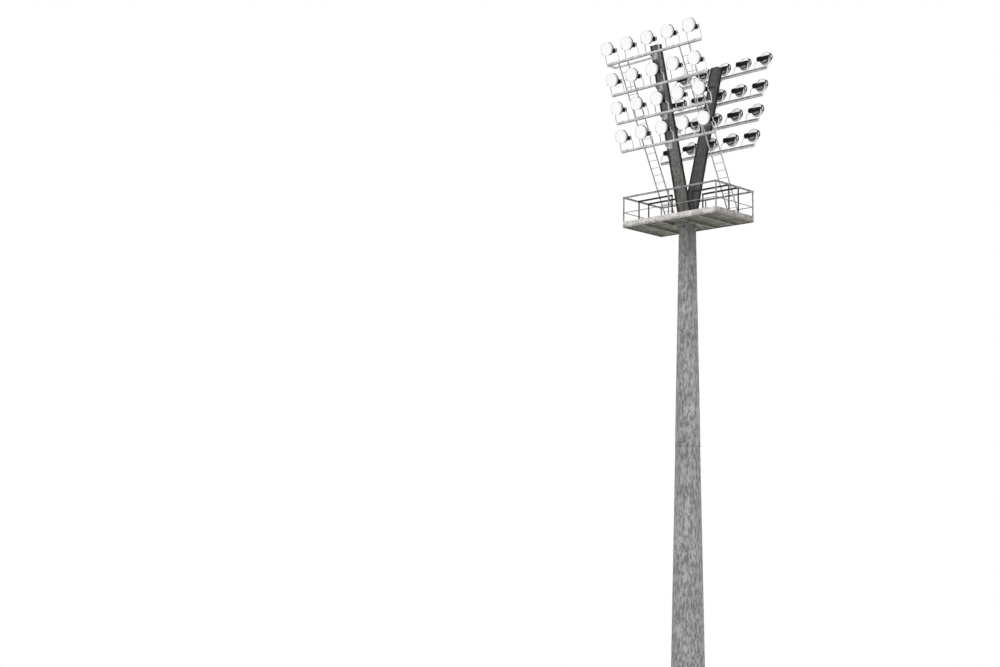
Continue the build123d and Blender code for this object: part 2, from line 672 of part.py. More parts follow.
# Yoke: a flat strap bent into a U, its one leg bent in to the gear box
leg_top = YOKE_PLATE + PIVOT_RISE + YOKE_TOP
half_span = YOKE_SPAN / 2
neck_rise = YOKE_PLATE + PIVOT_RISE - GEAR_BOX_SIDE / 2
bend_rise = neck_rise - YOKE_SHOULDER
mitre = YOKE_PLATE * math.tan(math.radians(22.5))
with BuildPart() as yoke_form:
    with BuildSketch(Plane.XZ):
        with BuildLine():
            outside = FilletPolyline(
                (-half_span, leg_top),
                (-half_span, 0),
                (half_span, 0),
                (half_span, bend_rise),
                (half_span - YOKE_SHOULDER, neck_rise),
                (half_span - YOKE_SHOULDER, leg_top),
                radius=YOKE_BEND,
            )
            inside = FilletPolyline(
                (-half_span + YOKE_PLATE, leg_top),
                (-half_span + YOKE_PLATE, YOKE_PLATE),
                (half_span - YOKE_PLATE, YOKE_PLATE),
                (half_span - YOKE_PLATE, bend_rise - mitre),
                (half_span - YOKE_PLATE - YOKE_SHOULDER, neck_rise - mitre),
                (half_span - YOKE_PLATE - YOKE_SHOULDER, leg_top),
                radius=YOKE_BEND - YOKE_PLATE,
            )
            Line(outside @ 0, inside @ 0)
            Line(outside @ 1, inside @ 1)
        make_face()
    extrude(amount=YOKE_STRAP / 2, both=True)

for row, rise in enumerate(row_rises, start=1):
    with BuildPart() as bowls:
        with Locations(*lamp_places(rise, LAMP_DIP)):
            add(bowl_form.part)
    finish(bowls.part, f"row_{row}_lamp_bowls")

    with BuildPart() as glasses:
        with Locations(*lamp_places(rise, LAMP_DIP)):
            add(glass_form.part)
    finish(glasses.part, f"row_{row}_lamp_glasses")

    with BuildPart() as gear_boxes:
        with Locations(*lamp_places(rise, LAMP_DIP)):
            add(gear_box_form.part)
    finish(gear_boxes.part, f"row_{row}_gear_boxes")

    with BuildPart() as quadrants:
        with Locations(*lamp_places(rise)):
            add(quadrant_form.part)
    finish(quadrants.part, f"row_{row}_aiming_quadrants")

# Yokes stand on the row beams along the arms' lean
for row, rise in enumerate(row_rises, start=1):
    stand = row_plane(rise).offset(BEAM_DEPTH / 2)
    yoke_places = []
    for lamp in range(LAMPS_PER_ROW):
        along = (lamp - (LAMPS_PER_ROW - 1) / 2) * LAMP_SPACING
        foot = Plane(stand.from_local_coords((along, 0, 0)), x_dir=stand.x_dir, z_dir=stand.z_dir)
        yoke_places += [foot.location, half_turn * foot.location]
    with BuildPart() as yokes:
        with Locations(*yoke_places):
            add(yoke_form.part)
    finish(yokes.part, f"row_{row}_yokes")
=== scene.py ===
"""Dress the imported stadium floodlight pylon: finishes, small fittings, stage, light and camera."""

import logging
import math
from dataclasses import dataclass
from enum import Enum
from typing import Optional, Sequence, Union

import bmesh
import bpy
from mathutils import Matrix, Vector

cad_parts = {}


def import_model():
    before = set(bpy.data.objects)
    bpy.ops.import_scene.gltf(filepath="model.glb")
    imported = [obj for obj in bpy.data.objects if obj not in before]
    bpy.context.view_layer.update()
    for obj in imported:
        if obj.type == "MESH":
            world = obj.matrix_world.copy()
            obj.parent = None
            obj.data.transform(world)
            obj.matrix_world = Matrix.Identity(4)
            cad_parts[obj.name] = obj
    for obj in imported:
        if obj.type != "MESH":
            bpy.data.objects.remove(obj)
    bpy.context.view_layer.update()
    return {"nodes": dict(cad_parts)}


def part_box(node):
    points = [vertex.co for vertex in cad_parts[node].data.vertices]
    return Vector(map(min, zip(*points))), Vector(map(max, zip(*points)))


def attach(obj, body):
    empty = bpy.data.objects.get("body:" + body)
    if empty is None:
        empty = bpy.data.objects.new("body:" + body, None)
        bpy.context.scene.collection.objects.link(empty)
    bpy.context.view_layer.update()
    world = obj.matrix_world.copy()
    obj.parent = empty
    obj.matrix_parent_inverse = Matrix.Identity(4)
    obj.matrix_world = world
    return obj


BODY = "root"
LOG = logging.getLogger("pylon")

Pair = tuple[float, float]
Triple = tuple[float, float, float]
Outline = Sequence[Pair]
Colour = tuple[float, float, float, float]
Number = Union["Signal", float, int]
Tint = Union["Signal", Colour]

HERE = Matrix.Identity(4)
HALF_TURN = Matrix.Rotation(math.pi, 4, "Z")
SIDES = (-1, 1)

# Widths of rounded edges, by how a part is made.
SHEARED = 0.001
FILED = 0.0015
TURNED = 0.002
CAST = 0.003

# Edges that turn more than this are rounded, or shaded as sharp ones, in radians.
ROUNDED_FROM = 0.6
SHARP_FROM = math.radians(32)

# Parts of a bolt in thread diameters.
WASHER_HEIGHT = 0.18
WASHER_RADIUS = 1.15
HEAD_RADIUS = 0.9
HEAD_ROUND = 0.08


class Slot(Enum):
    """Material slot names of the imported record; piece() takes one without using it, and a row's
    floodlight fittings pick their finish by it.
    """

    MAST = "weathered_galvanised"
    ARM = "dark_weathered_steel"
    EDGE = "pale_edge_steel"
    BLACK = "black_steel"
    RAIL = "grey_rail_steel"
    LIGHT = "light_galvanised"
    BOWL = "bowl_aluminium"
    HOUSING = "black_housing"


# ---- places -------------------------------------------------------------------------------


def at(x: float, y: float, z: float, turn: Triple = (0, 0, 0)) -> Matrix:
    """Return a place, turned about X, Y and Z in that order by so many degrees."""
    turns = [Matrix.Rotation(math.radians(angle), 4, axis) for angle, axis in zip(turn, "XYZ")]
    return Matrix.Translation((x, y, z)) @ turns[2] @ turns[1] @ turns[0]


def corners(spots: Outline, z: float, turn: Triple = (0, 0, 0)) -> list[Matrix]:
    """Return places mirrored into all four quarters of a plan, at one height."""
    return [at(sx * x, sy * y, z, turn) for sx in SIDES for sy in SIDES for x, y in spots]


def spread(count: int, pitch: float) -> list[float]:
    """Return a number of evenly spaced places about 0."""
    return [(n - (count - 1) / 2) * pitch for n in range(count)]


def both_panels(places: Sequence[Matrix]) -> list[Matrix]:
    """Return the places on the near panel and the same ones on the far panel."""
    return list(places) + [HALF_TURN @ place for place in places]


@dataclass(frozen=True)
class Frame:
    """Sizes of the steel frame that the fittings stand on, in metres; mast ends with radii."""

    mast_joints: tuple[Pair, ...] = ((10.5, 0.64), (19.2, 0.4838))
    mast_head: Pair = (27.77, 0.33)
    head_plate_top: float = 27.8
    edge_depth: float = 0.1
    floor_z: float = 27.94
    deck_thickness: float = 0.04
    platform_length: float = 4.47
    platform_width: float = 2.465
    lean: float = math.radians(15.4)
    arm_foot_out: float = 0.1
    arm_width: float = 0.34
    arm_depth: float = 0.47
    arm_top_depth: float = 0.29
    arm_top_rise: float = 6.6
    row_rises: tuple[float, ...] = (6.264, 5.086, 4.009, 2.922)
    beam_length: float = 4.52
    beam_width: float = 0.09
    beam_depth: float = 0.1
    beam_standoff: float = 0.07
    lamp_spacing: float = 0.99
    lamps: int = 5
    pivot_lift: float = 0.486
    lamp_dip: float = 18.0
    lamp_raise: float = 0.11

    def arm(self, rise: float) -> Matrix:
        """Return a place on the near arm's leaning axis, at a height above the floor."""
        out = self.arm_foot_out + rise * math.tan(self.lean)
        return at(0, -out, self.floor_z + rise) @ Matrix.Rotation(self.lean, 4, "X")

    def row(self, row: int) -> Matrix:
        """Return the centre of a near beam, row 1 on top, with local Z up the arm."""
        ahead = self.arm_depth / 2 + self.beam_standoff + self.beam_width / 2
        return at(0, -ahead / math.cos(self.lean), 0) @ self.arm(self.row_rises[row - 1])

    def rows(self) -> list[Matrix]:
        """Return the places of all rows of the near panel."""
        return [self.row(number + 1) for number in range(len(self.row_rises))]

    def lamps_of(self, row: int, dip: float) -> list[Matrix]:
        """Places of a level's ten lamps, with the light along local -Y.

        Args:
            row: Number of the row.
            dip: Dip of the lamps in degrees.

        Returns:
            The matrices.
        """
        pivot = self.row(row) @ Vector((0, 0, self.pivot_lift))
        line = spread(self.lamps, self.lamp_spacing)
        return both_panels([at(x, pivot.y, pivot.z, (dip, 0, 0)) for x in line])

    def lamp_height(self, row: int, ahead: float) -> float:
        """Return the height of a row's lamp axes so far in front of their pivots."""
        return (self.lamps_of(row, self.lamp_dip)[0] @ Vector((0, -ahead, self.lamp_raise))).z


FRAME = Frame()


# ---- shader maths -------------------------------------------------------------------------


@dataclass(frozen=True)
class Signal:
    """A socket whose value varies over a surface; operators on it add Math nodes."""

    nodes: "Nodes"
    socket: bpy.types.NodeSocket

    def __add__(self, other: Number) -> "Signal":
        """Return the sum."""
        return self.nodes.maths("ADD", self, other)

    def __sub__(self, other: Number) -> "Signal":
        """Return the difference."""
        return self.nodes.maths("SUBTRACT", self, other)

    def __rsub__(self, other: Number) -> "Signal":
        """Return the difference with the number first."""
        return self.nodes.maths("SUBTRACT", other, self)

    def __mul__(self, other: Number) -> "Signal":
        """Return the product."""
        return self.nodes.maths("MULTIPLY", self, other)

    def __pow__(self, other: Number) -> "Signal":
        """Return the power."""
        return self.nodes.maths("POWER", self, other)

    def __abs__(self) -> "Signal":
        """Return the size without its sign."""
        return self.nodes.maths("ABSOLUTE", self)

    __radd__ = __add__
    __rmul__ = __mul__

    def most(self, other: Number) -> "Signal":
        """Return the larger of the two."""
        return self.nodes.maths("MAXIMUM", self, other)

    def band(self, low: float, high: float, share: float = 1.0) -> "Signal":
        """Return 0 below low and the share above high with a smooth step between.

        Args:
            low: Value at which the step starts.
            high: Value at which the step is complete; it may be under low, which turns the step.
            share: Height of the step.

        Returns:
            The step.
        """
        node = self.nodes.node(
            "ShaderNodeMapRange",
            {"interpolation_type": "SMOOTHSTEP"},
            {"Value": self, "From Min": low, "From Max": high, "To Max": share},
        )
        return Signal(self.nodes, node.outputs["Result"])

    def wave(self, per_metre: float) -> "Signal":
        """Return a sine of the value from 0 to 1, with so many radians per metre."""
        return self.nodes.maths("SINE", self * per_metre) * 0.5 + 0.5


class Nodes:
    """A node tree whose nodes all come from one method."""

    def __init__(self, tree: bpy.types.NodeTree) -> None:
        """Empty a node tree."""
        self.tree = tree
        tree.nodes.clear()

    def node(
        self, kind: str, settings: dict[str, object], inputs: dict[object, object]
    ) -> bpy.types.Node:
        """Add one node, set its settings, then its sockets.

        Args:
            kind: Node type.
            settings: Attributes of the node; "stops" fills a colour ramp.
            inputs: Values or links by socket name or number.

        Returns:
            The new node.
        """
        node = self.tree.nodes.new(kind)
        for key, value in settings.items():
            if key == "stops":
                ramp = node.color_ramp.elements
                while len(ramp) < len(value):
                    ramp.new(0.5)
                for stop, (position, colour) in zip(ramp, value):
                    stop.position = position
                    stop.color = colour
            else:
                setattr(node, key, value)
        for key, value in inputs.items():
            self.join(node.inputs[key], value)
        return node

    def join(self, socket: bpy.types.NodeSocket, value: object) -> None:
        """Set a socket or link it.

        Args:
            socket: The socket.
            value: Its value, or what it is linked to.
        """
        if isinstance(value, Signal):
            value = value.socket
        if isinstance(value, bpy.types.NodeSocket):
            self.tree.links.new(value, socket)
        else:
            socket.default_value = value

    def maths(self, operation: str, *values: Number) -> Signal:
        """Add a Math node and return its result."""
        node = self.node("ShaderNodeMath", {"operation": operation}, dict(enumerate(values)))
        return Signal(self, node.outputs[0])

    def looked_at(self) -> Signal:
        """Return 1 for the camera's rays and those of mirrors, 0 for rays that carry light."""
        rays = self.node("ShaderNodeLightPath", {}, {}).outputs
        return Signal(self, rays["Is Camera Ray"]).most(Signal(self, rays["Is Glossy Ray"]))


class Shader(Nodes):
    """Node tree of one finish, ending in a Principled shader."""

    def __init__(self, name: str) -> None:
        """Start an empty material.

        Args:
            name: Name of the material.
        """
        self.material = bpy.data.materials.new(name)
        self.material.use_nodes = True
        super().__init__(self.material.node_tree)
        self.surface = self.node("ShaderNodeBsdfPrincipled", {}, {})
        wired = {"Surface": self.surface.outputs["BSDF"]}
        self.output = self.node("ShaderNodeOutputMaterial", {}, wired)

    def place(self, stretch: Triple = (1, 1, 1)) -> Signal:
        """Return the object's own coordinates.

        Args:
            stretch: Factor along each axis.

        Returns:
            The coordinates.
        """
        source = self.node("ShaderNodeTexCoord", {}, {}).outputs["Object"]
        mapped = self.node("ShaderNodeMapping", {}, {"Vector": source, "Scale": stretch})
        return Signal(self, mapped.outputs["Vector"])

    def axes(self) -> list[Signal]:
        """Return the object's own X, Y and Z."""
        parts = self.node("ShaderNodeSeparateXYZ", {}, {"Vector": self.place()}).outputs
        return [Signal(self, part) for part in parts]

    def noise(
        self, grains: Union[float, Triple], detail: float = 4.0, rough: float = 0.55
    ) -> Signal:
        """Return soft noise around one half.

        Args:
            grains: Grains per metre, one number or one for each axis.
            detail: Octaves of finer grain.
            rough: Strength of the finer grain.

        Returns:
            The noise.
        """
        stretch = grains if isinstance(grains, tuple) else (grains, grains, grains)
        inputs = {"Vector": self.place(stretch), "Scale": 1.0}
        inputs |= {"Detail": detail, "Roughness": rough}
        return Signal(self, self.node("ShaderNodeTexNoise", {}, inputs).outputs["Fac"])

    def cells(self, grains: float) -> Signal:
        """Return the distance to the nearest cell's centre, with so many cells per metre."""
        node = self.node("ShaderNodeTexVoronoi", {}, {"Vector": self.place(), "Scale": grains})
        return Signal(self, node.outputs["Distance"])

    def ramp(
        self, factor: Signal, colours: Sequence[Colour], stops: Triple = (0.36, 0.52, 0.68)
    ) -> Signal:
        """Return a colour from a ramp of three.

        Args:
            factor: Place on the ramp.
            colours: Dark, plain and pale colour.
            stops: Their positions.

        Returns:
            The colour.
        """
        settings = {"stops": list(zip(stops, colours))}
        node = self.node("ShaderNodeValToRGB", settings, {"Fac": factor})
        return Signal(self, node.outputs["Color"])

    def over(self, below: Tint, above: Tint, share: Number) -> Signal:
        """Return one colour laid over another by a share from 0 to 1."""
        node = self.node("ShaderNodeMix", {"data_type": "RGBA"}, {0: share, 6: below, 7: above})
        return Signal(self, node.outputs[2])

    def relief(self, height: Signal, depth: float) -> None:
        """Raise the surface by a bump.

        Args:
            height: Height from 0 to 1.
            depth: Height of 1 in metres.
        """
        inputs = {"Height": height, "Distance": depth, "Strength": 1.0}
        bump = self.node("ShaderNodeBump", {}, inputs)
        self.join(self.surface.inputs["Normal"], bump.outputs["Normal"])

    def feed(self, **sockets: object) -> bpy.types.Material:
        """Set the shader's sockets.

        Args:
            sockets: Values or links, named as the sockets with _ for a space.

        Returns:
            The finished material.
        """
        for name, value in sockets.items():
            self.join(self.surface.inputs[name.replace("_", " ")], value)
        return self.material


# ---- finishes -----------------------------------------------------------------------------


def paint_colour(red: int, green: int, blue: int) -> Colour:
    """Turn a colour written as 0 to 255 display values into a shader colour.

    Args:
        red: Red as shown on a display.
        green: Green as shown on a display.
        blue: Blue as shown on a display.

    Returns:
        The linear colour with full alpha.
    """
    shown = [value / 255 for value in (red, green, blue)]
    linear = [c / 12.92 if c <= 0.04045 else ((c + 0.055) / 1.055) ** 2.4 for c in shown]
    return (linear[0], linear[1], linear[2], 1.0)


def shades(*tones: tuple[int, int, int]) -> tuple[Colour, ...]:
    """Return several colours, each written as paint_colour takes it."""
    return tuple(paint_colour(*tone) for tone in tones)


@dataclass(frozen=True)
class Finish:
    """A finish: a name, and the material painted the first time it is asked for."""

    name: str

    def material(self) -> bpy.types.Material:
        """Return the finish's material."""
        return bpy.data.materials.get(self.name) or self.paint(Shader(self.name))

    def paint(self, shader: Shader) -> bpy.types.Material:
        """Build the node tree on an empty Principled shader and return its material."""
        raise NotImplementedError


@dataclass(frozen=True)
class WeatheredSteel(Finish):
    """Zinc or paint on steel outdoors: clouds, spangle, rain streaks and rust freckles."""

    dark: Colour
    plain: Colour
    pale: Colour
    stain: Colour
    cloud_scale: float = 1.6
    spangle_scale: float = 28.0
    streak_share: float = 0.5
    rust_share: float = 0.25
    roughness: float = 0.55
    metallic: float = 0.35
    grain_share: float = 0.35
    grain_scale: float = 15.0
    grain_length: float = 1.8
    rust: Colour = paint_colour(112, 82, 58)
    relief_depth: float = 0.0012
    relief_cloud: float = 0.6
    dull_cloud: float = 0.5
    dull_spangle: float = 0.12

    def tone(self, shader: Shader, cloud: Signal, spangle: Signal) -> Signal:
        """Work out the weathered colour: clouds, grain, rain streaks, then rust.

        Args:
            shader: The node tree.
            cloud: The cloud pattern.
            spangle: The spangle pattern.

        Returns:
            The colour.
        """
        fine = shader.noise(self.spangle_scale * 2.3, 3.0)
        mottle = cloud * 0.72 + spangle * 0.16 + fine * 0.2
        colour = shader.ramp(mottle, (self.dark, self.plain, self.pale))
        scale = self.grain_scale
        grain = shader.noise((scale, scale, scale / self.grain_length), 4.0, 0.62)
        colour = shader.over(colour, self.stain, grain.band(0.52, 0.38, self.grain_share))
        colour = shader.over(colour, self.pale, grain.band(0.5, 0.63, self.grain_share))
        drips = shader.noise((9.0, 9.0, 0.32), 4.0, 0.5).band(0.5, 0.68, share=0.7)
        threads = shader.noise((34.0, 34.0, 0.8), 2.0).band(0.56, 0.74, share=0.4)
        colour = shader.over(colour, self.stain, (drips + threads) * self.streak_share)
        freckles = shader.noise(11.0, 8.0, 0.7).band(0.6, 0.72, self.rust_share)
        return shader.over(colour, self.rust, freckles)

    def marks(self, shader: Shader, colour: Signal) -> Signal:
        """Return the colour with the marks of the part's place laid over it, here none."""
        return colour

    def paint(self, shader: Shader) -> bpy.types.Material:
        """Build the weathered steel.

        Args:
            shader: The node tree.

        Returns:
            The painted material.
        """
        cloud = shader.noise(self.cloud_scale, 6.0, 0.6)
        spangle = shader.cells(self.spangle_scale)
        colour = self.marks(shader, self.tone(shader, cloud, spangle))
        relief = cloud * self.relief_cloud + spangle * (1 - self.relief_cloud)
        shader.relief(relief, self.relief_depth)
        dull = (cloud - 0.5) * self.dull_cloud + spangle * self.dull_spangle + self.roughness
        return shader.feed(Base_Color=colour, Roughness=dull, Metallic=self.metallic)


@dataclass(frozen=True)
class MastSteel(WeatheredSteel):
    """Mast tubes: weathered zinc, browner under the platform and below each slip joint."""

    relief_cloud: float = 0.5
    dull_spangle: float = 0.14
    # Brown laid over the mast's top, under the platform.
    under_head_brown: Colour = paint_colour(112, 108, 98)
    head_reach: float = 3.2
    head_share: float = 0.4
    joint_reach: float = 1.1
    joint_share: float = 0.16
    splash_dirt: Colour = paint_colour(104, 99, 88)
    splash_from: float = 1.6
    splash_full: float = 0.2
    splash_share: float = 0.5

    def marks(self, shader: Shader, colour: Signal) -> Signal:
        """Lay the darker brown under the head, the stains below the joints and the splash at the
        foot over the colour.

        Args:
            shader: The node tree.
            colour: The weathered colour.

        Returns:
            The marked colour.
        """
        height = shader.axes()[2]
        ragged = height + 1.6 * (shader.noise((5.0, 5.0, 0.6), 3.0) - 0.5)
        head = FRAME.mast_head[0]
        # Darker and browner over the last metres below the head, under the platform.
        under_head = ragged.band(head - self.head_reach, head, self.head_share)
        colour = shader.over(colour, self.under_head_brown, under_head)
        for joint, _ in FRAME.mast_joints:
            fading = ragged.band(joint - self.joint_reach, joint, self.joint_share)
            below = height.band(joint + 0.02, joint)
            colour = shader.over(colour, self.stain, fading * below)
        splash = ragged.band(self.splash_from, self.splash_full, self.splash_share)
        return shader.over(colour, self.splash_dirt, splash)


@dataclass(frozen=True)
class EdgeSteel(WeatheredSteel):
    """Platform edge: pale steel, its ends greyed and its olive underside darkened as painted shade,
    dirty along its foot.
    """

    dull_cloud: float = 0.4
    dull_spangle: float = 0.0
    # Grey of the painted shade on the platform's short ends.
    end_shade: Colour = paint_colour(118, 113, 104)
    foot_dirt: Colour = paint_colour(104, 98, 88)
    foot_share: float = 0.6
    # Olive of the platform's underside, made darker than the pale faces of the same steel as painted
    # shade.
    olive: Colour = paint_colour(98, 98, 86)
    olive_share: float = 0.9

    def marks(self, shader: Shader, colour: Signal) -> Signal:
        """Lay the ends' painted shade, the dirty band along the foot and the olive underside with
        its painted shade over the colour.

        Args:
            shader: The node tree.
            colour: The weathered colour.

        Returns:
            The marked colour.
        """
        along, _, height = shader.axes()
        end, foot = FRAME.platform_length / 2, FRAME.head_plate_top
        shade_and_dirt_noise = shader.noise((6.0, 6.0, 3.0), 5.0, 0.65)
        # Painted shade: the short ends are greyed, unevenly.
        ends = abs(along).band(end - 0.02, end - 0.01) * (0.34 + shade_and_dirt_noise.band(0.42, 0.62, 0.46))
        colour = shader.over(colour, self.end_shade, ends)
        ragged = height + 0.22 * (shade_and_dirt_noise - 0.5)
        line = ragged.band(foot + 0.11, foot + 0.02, self.foot_share)
        colour = shader.over(colour, self.foot_dirt, line)
        # Partly the underside's own olive, partly painted shade: the lower face is darker than the
        # sides.
        underneath = height.band(foot + 0.014, foot + 0.006, self.olive_share)
        return shader.over(colour, self.olive, underneath)


@dataclass(frozen=True)
class BeamSteel(WeatheredSteel):
    """Row beams: pale zinc, with painted shade along the foot of the channel, most on the near
    panel.
    """

    dull_spangle: float = 0.0
    # Dark of the painted shade along the beam's foot.
    foot_shade: Colour = paint_colour(92, 90, 88)
    near_share: float = 0.6
    least_share: float = 0.12
    foot_z: float = 0.0

    @classmethod
    def of_row(cls, row: int) -> "BeamSteel":
        """Return the finish of a row's beams.

        Args:
            row: Number of the row.

        Returns:
            The finish.
        """
        edge = Vector((0, -FRAME.beam_width / 2, -FRAME.beam_depth / 2))
        foot = (FRAME.row(row) @ edge).z
        return cls(f"row_{row}_beam_zinc", *FRAME_TONES, cloud_scale=4.0, foot_z=foot)

    def marks(self, shader: Shader, colour: Signal) -> Signal:
        """Lay painted shade along the channel's foot over the colour.

        Args:
            shader: The node tree.
            colour: The weathered colour.

        Returns:
            The marked colour.
        """
        _, across, height = shader.axes()
        ragged = height + 0.02 * (shader.noise(7.0) - 0.5)
        panel = across.band(0.5, -0.5, self.near_share) + self.least_share
        # Painted shade: a dark band along the beam's lower edge, strongest on the near panel.
        line = ragged.band(self.foot_z + 0.036, self.foot_z + 0.02)
        return shader.over(colour, self.foot_shade, line * panel)


@dataclass(frozen=True)
class ArmSteel(WeatheredSteel):
    """Leaning arm: dark weathered steel, with painted shade as black bands along its plate edges."""

    dull_cloud: float = 0.4
    dull_spangle: float = 0.0
    # Black of the painted shade along the arm's edges.
    edge_shade: Colour = paint_colour(16, 15, 15)
    edge_shade_share: float = 0.74
    side: int = 1

    @classmethod
    def of_side(cls, name: str, side: int, shade: float) -> "ArmSteel":
        """Return an arm's finish.

        Args:
            name: Name of the finish.
            side: 1 for the near arm, -1 for the far one.
            shade: Brightness against the near arm; below 1 it darkens the tones as painted shade.

        Returns:
            The finish.
        """
        near = ((86, 85, 83), (118, 117, 115), (150, 147, 142))
        # A shade below 1 is painted shade: the same steel, darkened.
        tones = [tuple(round(c * shade) for c in tone) for tone in near]
        return cls(
            name,
            *shades(*tones, (64, 61, 57)),
            grain_share=0.6,
            cloud_scale=3.4,
            spangle_scale=16.0,
            rust_share=0.2,
            roughness=0.6,
            metallic=0.2,
            side=side,
        )

    def marks(self, shader: Shader, colour: Signal) -> Signal:
        """Lay painted shade as dark borders over the colour, in the arm's own directions.

        Args:
            shader: The node tree.
            colour: The weathered colour.

        Returns:
            The marked colour.
        """
        along_x, along_y, along_z = shader.axes()
        lean, rise = FRAME.lean, FRAME.arm_top_rise
        half_width, half_depth = FRAME.arm_width / 2, FRAME.arm_depth / 2
        taper = (FRAME.arm_depth - FRAME.arm_top_depth) * math.cos(lean) / rise
        out = along_y * self.side + (rise * math.tan(lean) + FRAME.arm_foot_out)
        up = along_z - (FRAME.floor_z + rise)
        across = out * math.cos(lean) + up * math.sin(lean)
        down = out * math.sin(lean) - up * math.cos(lean)
        back = across - down * taper + (half_depth - FRAME.arm_top_depth)
        front = -half_depth - across
        on_plate = front.band(-0.012, -0.004).most(back.band(-0.012, -0.004))
        plate_edge = (0 - along_x).band(half_width - 0.12, half_width - 0.075) * on_plate
        hidden = back if self.side > 0 else front
        outer = abs(along_x).band(half_width - 0.02, half_width - 0.016)
        side_edge = outer * hidden.band(-0.16, -0.1)
        ragged = shader.noise((14.0, 14.0, 4.0)).band(0.3, 0.55, share=0.24)
        # Painted shade: black bands on the front plate's edge and along the hidden side face's edge.
        border = plate_edge.most(side_edge) * (self.edge_shade_share + ragged)
        return shader.over(colour, self.edge_shade, border)


@dataclass(frozen=True)
class DeckTimber(Finish):
    """Olive grey platform boards, grained along the platform, damp and lichened in patches."""

    tones: tuple[Colour, ...] = shades((80, 81, 71), (114, 115, 104), (150, 150, 137))
    dark_line: Colour = paint_colour(66, 66, 56)
    pale_line: Colour = paint_colour(176, 176, 160)
    lichen: Colour = paint_colour(122, 124, 92)

    def paint(self, shader: Shader) -> bpy.types.Material:
        """Build the boards' grain, knots and damp patches.

        Args:
            shader: The node tree.

        Returns:
            The painted material.
        """
        grain = shader.noise((1.2, 26.0, 26.0), 6.0, 0.6)
        boards = shader.noise((0.25, 3.7, 0.0), 1.0)
        damp = shader.noise(1.3, 5.0, 0.6)
        colour = shader.ramp(grain * 0.45 + boards * 0.3 + damp * 0.3, self.tones)
        lines = shader.noise((0.8, 10.0, 0.0), 3.0, 0.6)
        colour = shader.over(colour, self.dark_line, lines.band(0.48, 0.36, share=0.7))
        colour = shader.over(colour, self.pale_line, lines.band(0.54, 0.66, share=0.6))
        patches = shader.noise(9.0, 6.0, 0.7).band(0.58, 0.7, share=0.35)
        colour = shader.over(colour, self.lichen, patches)
        shader.relief(grain, 0.002)
        return shader.feed(Base_Color=colour, Roughness=grain * 0.2 + 0.68)


@dataclass(frozen=True)
class PaleConcrete(Finish):
    """Cast concrete block: pale, pitted, with damp round its foot."""

    tones: tuple[Colour, ...] = shades((158, 155, 146), (190, 188, 181), (214, 212, 206))
    pit: Colour = paint_colour(96, 92, 84)
    damp: Colour = paint_colour(110, 108, 92)

    def paint(self, shader: Shader) -> bpy.types.Material:
        """Build the concrete's clouding, pits and damp foot.

        Args:
            shader: The node tree.

        Returns:
            The painted material.
        """
        cloud = shader.noise(2.1, 7.0, 0.62)
        sand = shader.noise(70.0, 3.0, 0.6)
        pits = shader.cells(34.0).band(0.16, 0.08) * shader.noise(6.0).band(0.5, 0.6)
        colour = shader.ramp(cloud * 0.8 + sand * 0.22, self.tones)
        colour = shader.over(colour, self.pit, pits * 0.6)
        height = shader.axes()[2] + 0.16 * (cloud - 0.5)
        colour = shader.over(colour, self.damp, height.band(0.1, 0.0, share=0.7))
        shader.relief(sand * 0.6 + cloud * 0.4 - pits, 0.003)
        return shader.feed(Base_Color=colour, Roughness=sand * 0.15 + 0.8)


@dataclass(frozen=True)
class LampFinish(Finish):
    """A finish that is drawn about the axes of one row's lamps."""

    lamp_height: float = 0.0

    @classmethod
    def at_row(cls, row: int, what: str, ahead: float) -> "LampFinish":
        """Return a row's finish.

        Args:
            row: Number of the row.
            what: Name of the finish.
            ahead: Distance from the pivots at which it is centred on the lamps' axes.

        Returns:
            The finish.
        """
        return cls(f"row_{row}_{what}", lamp_height=FRAME.lamp_height(row, ahead))

    def radius(self, shader: Shader) -> tuple[Signal, Signal]:
        """Measure from the axis of the nearest lamp.

        Args:
            shader: The node tree.

        Returns:
            The distance from the axis, and the height above it.
        """
        along, _, up = shader.axes()
        half = FRAME.lamp_spacing / 2
        folded = shader.maths("WRAP", along, half, -half)
        above = up - self.lamp_height
        return (folded * folded + above * above) ** 0.5, above


@dataclass(frozen=True)
class BowlMetal(LampFinish):
    """Spun aluminium bowl: turned rings, a painted highlight on its upper half and rim, painted
    shade on its lower half.
    """

    tones: tuple[Colour, ...] = shades((170, 170, 172), (204, 204, 206), (224, 224, 225))
    underside_shade: Colour = paint_colour(152, 151, 155)
    painted_highlight: Colour = paint_colour(250, 251, 252)

    @classmethod
    def of_row(cls, row: int) -> "BowlMetal":
        """Return the finish of a row's bowls."""
        return cls.at_row(row, "bowl_metal", 0.18)

    def paint(self, shader: Shader) -> bpy.types.Material:
        """Build the spun bowl about each lamp's own axis.

        Args:
            shader: The node tree.

        Returns:
            The painted material.
        """
        radius, above = self.radius(shader)
        cloud = shader.noise(6.0, 5.0, 0.6)
        colour = shader.ramp(cloud, self.tones, (0.34, 0.5, 0.68))
        # Painted shade: the lower half of each bowl is greyed.
        underside_shade = (0.25 * (cloud - 0.5) - above).band(0.0, 0.24, share=0.55)
        colour = shader.over(colour, self.underside_shade, underside_shade)
        # Painted highlight: the upper half and a ring at the rim are made paler.
        painted_highlight = above.band(-0.06, 0.08).most(radius.band(0.246, 0.256, share=0.8)) * 0.95
        colour = shader.over(colour, self.painted_highlight, painted_highlight)
        shader.relief(radius.wave(900.0) * 0.3 + cloud * 0.7, 0.0006)
        return shader.feed(Base_Color=colour, Roughness=cloud * 0.25 + 0.3, Metallic=0.3)


